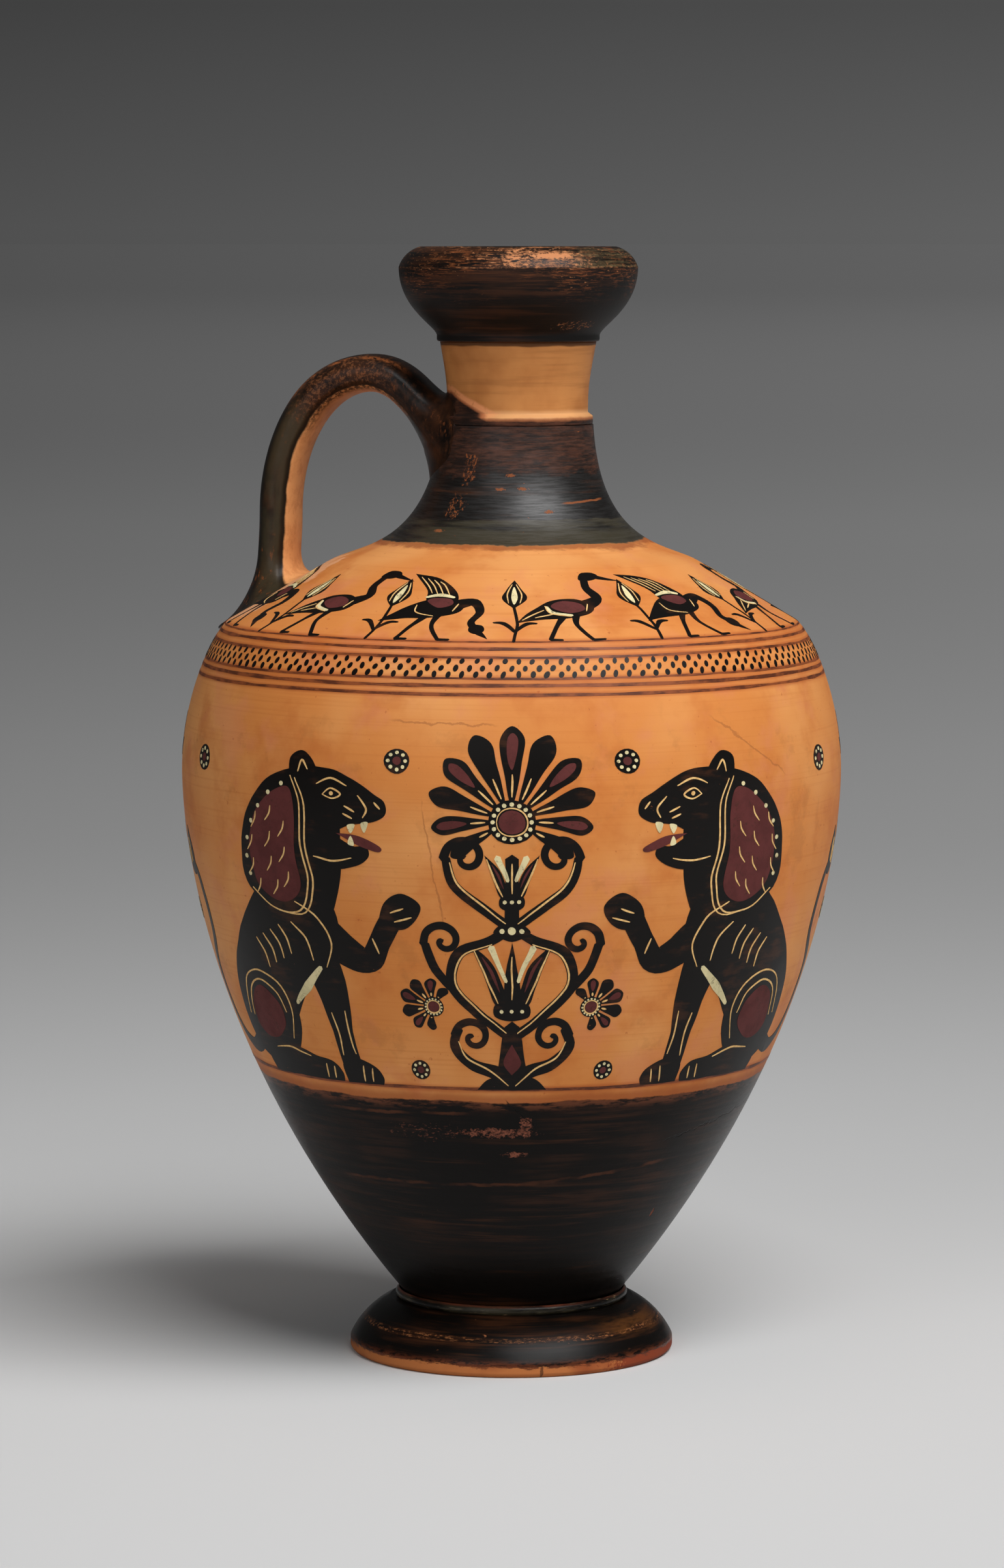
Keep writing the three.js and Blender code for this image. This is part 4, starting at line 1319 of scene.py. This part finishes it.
def stag():
    """A stag with branched antlers, standing, facing right."""
    d = Drawing()
    legs = (  # widths, then hip, knee, hock and hoof
        (8, 3.6, 2, 1.8), (8.6, 24, 5.4, 14.6, 7.6, 7.6, 6.4, 1.4),
        (7, 3.2, 1.9, 1.8), (11, 22, 11.4, 14.2, 14.4, 8.4, 13.6, 1.4),
        (6.4, 2.8, 1.9, 1.8), (30, 22, 31.2, 14, 30.2, 8, 30.4, 1.4),
        (6.6, 2.8, 1.9, 1.6), (32.4, 24, 36, 16.4, 40.2, 13.2, 38.8, 8.6),
    )
    for widths, leg in zip(legs[::2], legs[1::2]):
        x, y = leg[-2:]
        d.line("black", widths, *leg)
        d.blob("black", x - 1, y + 0.6, x + 0.9, y + 0.6, x + 2.3, y - 1.4, x + 2.3, y - 1.4,
               x - 1.1, y - 1.4, x - 1.1, y - 1.4)
    d.blob("black", 4, 22.6, 4.8, 28.6, 9.6, 31.8, 18, 31, 26, 31.6, 32.4, 33, 36, 29.6, 35.4, 24,
           31, 20.2, 25, 20.4, 18.4, 22.6, 13.6, 20.6, 8.6, 18.6)
    d.blob("black", 4.8, 29.4, 2.6, 32.6, 1, 32.2, 1.6, 28.8, 4, 26.6)
    d.line("black", (11, 7.4, 5.2), 31, 27.6, 35.4, 34, 38, 40.6)
    d.blob("black", 35.6, 41, 38.2, 44, 41.6, 43.4, 46, 40, 48.2, 37.6, 47.2, 35.8, 44.4, 36.4,
           40.6, 37.6, 37.2, 37.4)
    d.blob("black", 36.4, 42.6, 33, 45.2, 30.6, 45, 32, 42.4, 35.2, 41)
    d.line("black", (1.9, 1.6, 1.4, 0.7), 38.6, 43.4, 37, 48, 32, 51.6, 28.6, 56)
    d.line("black", (1.4, 1.1, 0.6), 36.4, 48.8, 36.8, 52.6, 35.4, 56.2)
    d.line("black", (1.3, 1.1, 0.6), 33, 50.8, 29.6, 49.8, 26, 50.6)
    d.line("black", (1.8, 1.5, 1.3, 0.7), 40.2, 43.2, 42.4, 47.6, 46, 50.6, 46.6, 55.8)
    d.line("black", (1.3, 1.1, 0.6), 42.2, 47.2, 40.8, 50.8, 41.8, 54.8)
    d.line("black", (1.2, 1, 0.6), 44.8, 49.6, 48, 49.8, 50.6, 52)
    d.blob("red", 31, 24.6, 30.6, 29.4, 33.6, 34.6, 36.4, 39, 38.4, 38.4, 38, 33.4, 35.6, 27.4)
    d.blob("red", 7, 22.6, 7.6, 27, 11.2, 29, 14.6, 26.8, 14.4, 23.2, 10.8, 21)
    d.line("white", (0.6, 1.3, 1.3, 0.6), 14.4, 21.6, 19.6, 22.9, 25.4, 21.5, 29.6, 21)
    d.line("white", (0.5, 1.1, 0.5), 40.6, 38.3, 38.6, 36.6, 37, 32.6)
    d.blob("white", 4.4, 28.8, 2.8, 31.2, 1.9, 31, 2.4, 28.8, 3.8, 27.6)
    d.dots("white", 0.46, 17.4, 28.8, 20.6, 28.6, 23.8, 28.8, 19, 26.4, 22.2, 26.2, 25.4, 26.8, 27, 29)
    d.cut([29.6, 22.8, 29.6, 28.6, 32.8, 34.2, 35.6, 39.6], [28.6, 23.4, 28.7, 28.9, 31.6, 34])
    d.cut([5.4, 22, 6.4, 27.8, 11, 30.2, 15.6, 27.6, 15.4, 22.8], [6.4, 27.8, 9.2, 25.6, 9.6, 22.2])
    for k in range(3):
        d.cut([17.6 + 2.4 * k, 25, 18.4 + 2.4 * k, 23.6, 18.2 + 2.4 * k, 22.6])
    d.cut([39.4, 41.2, 40.6, 42.1, 42.2, 41.3, 40.8, 40.6, 39.4, 41.2], width=0.26)
    d.dots("cut", 0.32, 40.8, 41.35)
    d.cut([44.4, 38, 46.6, 37.1], [45.6, 39.6, 46.3, 38.6], [37.6, 43.2, 38.8, 40.6, 38.4, 38.2])
    d.cut([32, 44, 34.2, 43, 36, 42.2], [33.4, 31, 35.6, 35.8], [35, 29, 36.8, 33.4])
    d.cut([6.4, 13, 7.8, 9.4, 7.4, 5.6], [31, 12.6, 30.6, 8.4, 30.8, 4.6], [13, 11.4, 14.2, 8.6,
          13.8, 4.8])
    return d


def crossed_palmettes():
    """The ornament at the back: four palmettes round a crossing of tendrils."""
    d = Drawing()
    half = Drawing()
    half.line("black", (1.5, 1.7, 1.5, 1.7, 1.5), 0, 28, 5.2, 23.4, 10.8, 21.8, 15.8, 25, 16, 31.4,
              10.8, 34.6, 5.2, 32.8, 0, 28)
    for side in (-1, 1):
        way = pairs((11.5, 5.8, 17.5, 7.8, 21.6, 12.6, 20.2, 18.2))
        half.line("black", (1.4, 1.6, 1.4), *((x, 28.4 + side * y) for x, y in way))
        half.fill("black", spiral(17, 28.4 + side * 18.2, 3.2, 1.15, 0, side, (1.4, 0.8)))
    half.put(palmette(9, 11, 205, 2.3), 18.4, 28.2, turn=-90)
    half.cut([1, 27.6, 5.6, 23.9, 10.8, 22.4, 15.2, 25.4, 15.4, 31, 10.8, 34, 5.6, 32.4])
    d.put(half).put(half, mirror=True)
    d.put(palmette(11, 14.6, 215, 2.6), 0, 38.6)
    d.put(palmette(11, 14.6, 215, 2.6), 0, 18.2, turn=180)
    d.blob("black", -3, 28.4, 0, 24.6, 3, 28.4, 0, 32.2)
    d.dots("red", 1.3, 0, 28.4, corners=14)
    return d


def crane(step=0):
    """A small walking crane for the shoulder, facing right; with step 1 it bends to feed."""
    d = Drawing()
    for hip_x, hip_y, knee_x, knee_y, foot_x in ((5, 6.6, 3.4, 3.8, 1.6), (6.6, 6.4, 6.2, 3.6, 8)):
        d.line("black", (1.3, 0.65, 0.6), hip_x, hip_y, knee_x, knee_y, foot_x, 0.2)
        d.line("black", (0.6, 0.4), foot_x, 0.2, foot_x + 1.7, 0.25)
    d.blob("black", -2.4, 4.4, -2.4, 4.4, 0.6, 7.6, 3.6, 9.8, 7.2, 10.4, 9.6, 8.8, 9, 6.8, 5.6, 5.6,
           1.2, 5.2)
    if step:
        d.line("black", (2.6, 1.4, 1.1, 1.1), 8.6, 8.8, 11, 9.6, 12.4, 7.2, 11.8, 4.6, 12.8, 3)
        d.blob("black", 12, 3.8, 13.6, 3.8, 14.2, 2.4, 13.2, 1.6, 12, 2.4)
        d.blob("black", 13.4, 2.6, 14, 2.1, 15.2, 0.4, 15.2, 0.4, 13.2, 1.6)
        # lifted wing
        d.blob("black", 4.2, 9, 3.2, 12.4, 0.2, 16.4, 0.2, 16.4, 4.4, 15.4, 7.4, 12.6, 8.4, 9.6)
        d.line("white", (0.4, 0.8, 0.4), 3.6, 10.6, 5.8, 11.2, 7.8, 10.6)
        d.blob("red", 4, 9.6, 5, 10.4, 7.4, 10.2, 8, 8.8, 6, 8)
        for k in range(4):
            d.cut([4.2 + 0.9 * k, 11.6 - 0.1 * k, 3 + 0.9 * k, 13.6, 1.4 + 1.1 * k, 15.6 - 0.35 * k],
                  width=0.2)
    else:
        d.line("black", (2.8, 1.6, 1.2, 1.2), 8.4, 8.6, 10.6, 10.4, 9.6, 13, 9.8, 15.4)
        d.blob("black", 9, 15.2, 9.6, 16.8, 11.4, 16.8, 12.2, 15.8, 11, 15)
        d.blob("black", 11.6, 16.5, 12.2, 16, 15.4, 14.6, 15.4, 14.6, 11.6, 15.3)
        d.blob("red", 3.4, 8.4, 5.4, 9.8, 7.8, 9.2, 8.2, 7.6, 5.6, 6.8)
        d.line("white", (0.4, 0.7, 0.4), 2.8, 8.4, 3.4, 6.9, 6, 6.2)
        d.cut([2.2, 7.6, -1.4, 5], [3.4, 6.6, 0.6, 5.6], width=0.2)
    d.cut([2.6, 8.6, 3, 6.8, 5.8, 5.9], [8.9, 9, 8.4, 7.2], width=0.2)
    return d


def bud():
    """A lotus bud on a thin stalk."""
    d = Drawing()
    d.line("black", (0.5, 0.45), 0, 0, 0.5, 4.2, 0, 9)
    d.blob("black", 0, 8.6, 0, 8.6, 1.9, 11.2, 1.2, 13.6, 0, 16.2, 0, 16.2, -1.2, 13.6, -1.9, 11.2)
    d.blob("white", 0, 9.6, 0.5, 11.6, 0, 14.4, -0.5, 11.6)
    d.line("black", (0.5, 0.8, 0.3), 0.2, 2.4, 1.8, 4.4, 3.4, 4.6)
    d.line("black", (0.5, 0.8, 0.3), 0.2, 2.4, -1.5, 4.6, -3, 4.9)
    d.cut([0.9, 10, 1.1, 12.4, 0.3, 15], [-0.9, 10, -1.1, 12.4, -0.3, 15], width=0.2)
    return d


# the flask


turned("body_wall", body_profile(), body_look(), ("body", "slip_foot_to_body"))
turned("neck_tube", neck_profile(), neck_look(), ("neck", "slip_body_to_neck"))
turned("mouth_cup", mouth_profile(), mouth_look(), ("mouth", "slip_neck_to_mouth"))
turned("foot_disc", foot_profile(), foot_look(), ("foot",))
turned("foot_joint_bead", bead_profile(), bead_look(), ("foot_bead",))
handle()


# paint: the drawings laid on the wall as thin closed skins

SKIN_DEPTH = 0.03  # how far each skin's underside lies inside the wall
LAYERS = {"black": 0.05, "red": 0.07, "white": 0.085, "cut": 0.10}
SKIN_GRID = 2.2
LINE_LIFT = 0.03
LINE_STEPS = 360
LINE_DRIFT = 0.22  # how far a line wanders from its level
LINE_TREMOR = 0.06
LINE_UNEVEN = 0.45  # change of its width
HAND_SHAKE = 0.15
HAND_REACH = 3.2  # length of one waver of the hand
FIGURE_BACK = 7.0  # a crane's middle, before it is scaled
FIGURE_JITTER = 1.5  # degrees
DOT_SHIFT = 0.06
DOT_SHRINK = 0.06  # from row to row
DOT_VARIES = (0.88, 1.12)
DOT_LEAN = 0.3


def on_wall(angle, run, lift):
    radius, height, out, up = wall_at(run)
    radius += out * lift
    return (radius * math.cos(angle), radius * math.sin(angle), height + up * lift)


def covers(shape, x, y):
    """Whether a closed shape, which may cross itself, covers a point."""
    turns = 0
    for (ax, ay), (bx, by) in zip(shape, shape[1:] + shape[:1]):
        if (ay <= y) != (by <= y):
            left = (bx - ax) * (y - ay) - (x - ax) * (by - ay)
            if by > ay and left > 0:
                turns += 1
            elif by < ay and left < 0:
                turns -= 1
    return turns != 0


def triangles(shapes):
    """The union of flat shapes as points and anticlockwise triangles, none much over SKIN_GRID."""
    points, edges, boxes = [], [], []
    for shape in shapes:
        numbers = range(len(points), len(points) + len(shape))
        edges += zip(numbers, (*numbers[1:], numbers[0]))
        points += [Vector(p) for p in shape]
        xs, ys = zip(*shape)
        boxes.append((min(xs), max(xs), min(ys), max(ys)))

    def covered(x, y):
        near = (s for s, b in zip(shapes, boxes) if b[0] <= x <= b[1] and b[2] <= y <= b[3])
        return any(covers(shape, x, y) for shape in near)

    low_x, low_y = min(b[0] for b in boxes), min(b[2] for b in boxes)
    for row in range(int((max(b[3] for b in boxes) - low_y) / SKIN_GRID) + 1):
        for column in range(int((max(b[1] for b in boxes) - low_x) / SKIN_GRID) + 1):
            x = low_x + (column + 0.5 * (row % 2)) * SKIN_GRID
            y = low_y + row * SKIN_GRID
            if covered(x, y):
                points.append(Vector((x, y)))
    flat, _, faces, *_ = delaunay_2d_cdt(points, edges, [], 0, 1e-4)
    middles = [[sum(flat[n][axis] for n in face) / 3 for axis in (0, 1)] for face in faces]
    return flat, [face for face, middle in zip(faces, middles) if covered(*middle)]


class Skin:
    """Thin closed patches of one paint, gathered into one piece."""

    def __init__(self):
        self.points = []
        self.faces = []

    def lay(self, shapes, place, lift):
        """Adds the union of flat shapes; place puts a flat point on the wall at a lift."""
        flat, faces = triangles(shapes)
        used = sorted({n for face in faces for n in face})
        top = {n: len(self.points) + 2 * k for k, n in enumerate(used)}
        for n in used:
            self.points.append(place(*flat[n], lift))
            self.points.append(place(*flat[n], -SKIN_DEPTH))
        sides = {}
        for face in faces:
            a, b, c = (top[n] for n in face)
            self.faces += [(a, b, c), (c + 1, b + 1, a + 1)]
            for edge in ((a, b), (b, c), (c, a)):
                if edge[::-1] in sides:
                    del sides[edge[::-1]]
                else:
                    sides[edge] = True
        self.faces += [(a + 1, b + 1, b, a) for a, b in sides]

    def ring(self, run, width, lift):
        """Adds a line painted while the wheel turned: not quite level, its width uneven."""
        first = len(self.points)
        for k in range(LINE_STEPS):
            angle = 2 * math.pi * k / LINE_STEPS
            c, s = math.cos(angle), math.sin(angle)
            drift = LINE_DRIFT * noise.noise(Vector((1.3 * c, 1.3 * s, run)))
            drift += LINE_TREMOR * noise.noise(Vector((14 * c, 14 * s, run)))
            half = width / 2 * (1 + LINE_UNEVEN * noise.noise(Vector((9 * c, 9 * s, run + 40))))
            for edge in (run + drift - half, run + drift + half):
                self.points.append(on_wall(angle, edge, -SKIN_DEPTH))
                self.points.append(on_wall(angle, edge, lift))
        for k in range(LINE_STEPS):
            a, b = first + 4 * k, first + 4 * ((k + 1) % LINE_STEPS)
            for n, m in ((0, 1), (1, 3), (3, 2), (2, 0)):
                self.faces.append((a + n, b + n, b + m, a + m))

    def piece(self, name, look, slot):
        return mesh_piece(name, self.points, self.faces, look)


def drawn_at(degrees, ground, radius=None):
    """Lays a drawing upright on the wall by a shaken hand, its middle at an angle from the front."""
    middle = FRONT + math.radians(degrees)

    def place(x, y, lift):
        where = Vector((x / HAND_REACH, y / HAND_REACH, degrees))
        x += HAND_SHAKE * noise.noise(where)
        y += HAND_SHAKE * noise.noise(where + Vector((9.1, 5.3, 3.7)))
        run = ground + y
        return on_wall(middle + x / (radius or wall_at(run)[0]), run, lift)

    return place


def on_frieze(degrees):
    return drawn_at(degrees, FRIEZE_GROUND, FRIEZE_RADIUS)


def scene_drawings():
    """Each drawing with the function that lays it on the wall."""
    out = [(lotus_tree(), on_frieze(0)), (crossed_palmettes(), on_frieze(180))]
    beasts = (lion(), 18.0, 50.5), (stag(), 25.0, 114.5)  # its middle, degrees from the front
    for side in (-1, 1):
        for beast, middle, degrees in beasts:
            turned_in = Drawing().put(beast, side * middle, mirror=side > 0)
            out.append((turned_in, on_frieze(side * degrees)))
    for degrees, height, radius in FILLING:
        for side in (-1, 1):
            out.append((Drawing().put(rosette(radius), y=height), on_frieze(side * degrees)))
    random.seed(7)
    for k in range(SHOULDER_FIGURES):
        degrees = 15 + 360 / SHOULDER_FIGURES * k
        if abs((degrees - HANDLE_SIDE + 180) % 360 - 180) < HANDLE_ROOT_REACH:
            continue
        figure = Drawing().put(crane(k % 2), -FIGURE_BACK * SHOULDER_SCALE, 0.1, SHOULDER_SCALE)
        jitter = random.uniform(-FIGURE_JITTER, FIGURE_JITTER)
        out.append((figure, drawn_at(degrees + jitter, SHOULDER_GROUND)))
        out.append((bud(), drawn_at(degrees + 180 / SHOULDER_FIGURES, SHOULDER_GROUND)))
    return out


def dots(skin):
    """Three rows of dots, each by hand: its size, place and lean vary."""
    random.seed(11)
    count = round(2 * math.pi * wall_at(DOT_ROWS[1])[0] / DOT_SPACING)
    for row, run in enumerate(DOT_ROWS):
        radius = wall_at(run)[0]
        size = 1.08 - DOT_SHRINK * row
        for k in range(count):
            shift = 0.5 * (row % 2) + random.uniform(-DOT_SHIFT, DOT_SHIFT)
            angle = 2 * math.pi * (k + shift) / count
            wide, tall = (v * size * random.uniform(*DOT_VARIES) for v in DOT_SIZE)
            middle = run + random.uniform(-DOT_SHIFT, DOT_SHIFT)
            lean = random.uniform(0.0, DOT_LEAN)

            def place(x, y, lift):
                return on_wall(angle + (x + y * lean) / radius, middle + y, lift)

            skin.lay([[(x * wide, y * tall) for x, y in disc(0, 0, 1.0, 10)]], place, LAYERS["black"])


def paint():
    skins = {colour: Skin() for colour in Drawing.COLOURS}
    for drawing, place in scene_drawings():
        for colour, shapes in drawing.shapes.items():
            if shapes:
                skins[colour].lay(shapes, place, LAYERS[colour])
    dots(skins["black"])
    lines = Skin()
    for run, width in LINES:
        lines.ring(run, width, LINE_LIFT)
    skins["black"].piece("painted_figures", painted_black_look(), "gloss")
    skins["red"].piece("painted_red", added_colour_look("added_red", RED, 0.62, 0.66), "slip")
    skins["white"].piece("painted_white", added_colour_look("added_white", WHITE, 0.6, 0.64), "slip")
    skins["cut"].piece("scratched_lines", scratched_look(), "clay")
    lines.piece("painted_lines", line_look(), "gloss")


paint()


# floor, light and camera

FAR_GREY = 0.098  # the backdrop's own brightness far behind the flask
WORLD_LIGHT = 0.065
BACKDROP_TOP = 0.063
BACKDROP_FADE = 0.039  # height of the fade, as the sine of its angle above the horizon
# painted fall-off of the light: the backdrop and the far floor brighter to the camera's right
BACKDROP_RISE = 2.0  # how much brighter it gets for each radian to the camera's right
FLOOR_RADIUS = 60.0  # metres
FLOOR_SIDES = 96
LAMP_AIM = 0.09  # metres up the flask
LAMPS = (  # name, azimuth, elevation, distance, size and power
    ("key", 37, 54, 1.35, (1.1, 0.7), 22.5),
    ("top", 0, 84, 1.1, (0.7, 0.7), 0.8),
    ("fill", -30, 22, 1.8, (0.8, 1.2), 6),
)
TURN_COS, TURN_SIN = math.cos(math.radians(VIEW_TURN)), math.sin(math.radians(VIEW_TURN))


def floor_and_backdrop():
    """A pale floor that runs back into a grey backdrop: its colour a painted pool of light, pale round the
    flask and darker with distance, and its far part a painted glow, brighter to the camera's right.
    """
    look = Look("pale_floor", 0.05, roughness=0.9)
    # painted pool of light: the floor pale round the flask and darkening with distance
    near = mix(look.radius.step(-200, 800), rgb(211, 211, 211), rgb(172, 172, 172))
    grey = mix(look.radius.step(600, 4500), near, rgb(30, 30, 30))
    look.put(grey, look.shader.inputs["Base Color"])
    # painted glow: the far floor shines as backdrop, brighter to the camera's right
    far = look.radius.step(16000, 2500) * 0.03 + look.radius.step(2300, 1100) * 0.02
    glow = look.radius.step(200, 2600) * FAR_GREY + look.radius.step(100, 1100) * far
    away = look.along(-TURN_SIN, TURN_COS) + VIEW_DISTANCE | VIEW_DISTANCE / 2
    aside = look.math("DIVIDE", look.along(TURN_COS, TURN_SIN), away)
    glow = mix(glow * (aside * BACKDROP_RISE + 1.0), (0, 0, 0, 1), (1, 1, 1, 1))
    look.put(glow, look.shader.inputs["Emission Color"])
    look.put(1.0, look.shader.inputs["Emission Strength"])
    mesh = bpy.data.meshes.new("floor")
    angles = [2 * math.pi * k / FLOOR_SIDES for k in range(FLOOR_SIDES)]
    points = [(FLOOR_RADIUS * math.cos(a), FLOOR_RADIUS * math.sin(a), 0) for a in angles]
    faces = [(0, k + 1, (k + 1) % FLOOR_SIDES + 1) for k in range(FLOOR_SIDES)]
    mesh.from_pydata([(0, 0, 0)] + points, [], faces)
    mesh.materials.append(look.material)
    floor = bpy.data.objects.new("floor", mesh)
    bpy.context.scene.collection.objects.link(floor)
    floor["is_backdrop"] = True


def lamp(name, azimuth, elevation, distance, size, power):
    """A softbox aimed at the belly; azimuth 0 is the camera's side, positive to its right."""
    a, e = math.radians(VIEW_TURN + azimuth), math.radians(elevation)
    away = Vector((math.sin(a) * math.cos(e), -math.cos(a) * math.cos(e), math.sin(e)))
    data = bpy.data.lights.new(name, "AREA")
    data.shape = "RECTANGLE"
    data.size, data.size_y = size
    data.energy = power
    light = bpy.data.objects.new(name, data)
    light.location = Vector((0, 0, LAMP_AIM)) + away * distance
    light.rotation_euler = away.to_track_quat("Z", "Y").to_euler()
    bpy.context.scene.collection.objects.link(light)


def world():
    """Soft grey surroundings, and behind the flask a backdrop that darkens upwards and grows brighter to
    the camera's right, a painted fall-off of the light.
    """
    scene_world = bpy.data.worlds.new("studio")
    bpy.context.scene.world = scene_world
    scene_world.use_nodes = True
    nodes, links = scene_world.node_tree.nodes, scene_world.node_tree.links
    ambient = nodes["Background"]
    ambient.inputs["Color"].default_value = (1, 1, 1, 1)
    ambient.inputs["Strength"].default_value = WORLD_LIGHT
    direction = nodes.new("ShaderNodeTexCoord").outputs["Generated"]
    parts = nodes.new("ShaderNodeSeparateXYZ")
    links.new(direction, parts.inputs[0])
    climb = nodes.new("ShaderNodeMapRange")
    links.new(parts.outputs["Z"], climb.inputs["Value"])
    climb.inputs["From Max"].default_value = BACKDROP_FADE
    climb.inputs["To Min"].default_value = FAR_GREY
    climb.inputs["To Max"].default_value = BACKDROP_TOP
    aside = nodes.new("ShaderNodeVectorMath")
    aside.operation = "DOT_PRODUCT"
    links.new(direction, aside.inputs[0])
    aside.inputs[1].default_value = (TURN_COS, TURN_SIN, 0)
    rise = nodes.new("ShaderNodeMath")
    rise.operation = "MULTIPLY_ADD"
    links.new(aside.outputs["Value"], rise.inputs[0])
    rise.inputs[1].default_value = BACKDROP_RISE
    rise.inputs[2].default_value = 1.0
    backdrop = nodes.new("ShaderNodeBackground")
    links.new(climb.outputs["Result"], backdrop.inputs["Color"])
    links.new(rise.outputs["Value"], backdrop.inputs["Strength"])
    both = nodes.new("ShaderNodeMixShader")
    seen = nodes.new("ShaderNodeLightPath").outputs["Is Camera Ray"]
    for n, output in enumerate((seen, ambient.outputs[0], backdrop.outputs[0])):
        links.new(output, both.inputs[n])
    links.new(both.outputs[0], nodes["World Output"].inputs["Surface"])


def camera():
    data = bpy.data.cameras.new("camera")
    data.sensor_width = 36
    data.sensor_fit = "AUTO"
    data.lens = LENS
    data.clip_end = 100
    view = bpy.data.objects.new("camera", data)
    x = TURN_SIN * VIEW_DISTANCE + TURN_COS * VIEW_SIDESTEP
    y = TURN_SIN * VIEW_SIDESTEP - TURN_COS * VIEW_DISTANCE
    view.location = (x * MM, y * MM, VIEW_HEIGHT * MM)
    view.rotation_euler = (math.radians(90 - VIEW_PITCH), 0, math.radians(VIEW_TURN))
    bpy.context.scene.collection.objects.link(view)
    bpy.context.scene.camera = view


floor_and_backdrop()
for settings in LAMPS:
    lamp(*settings)
world()
camera()
bpy.context.scene.view_settings.view_transform = "Standard"

seen_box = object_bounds()
[[list(corner) for corner in box] for box in (cad_box, seen_box)]
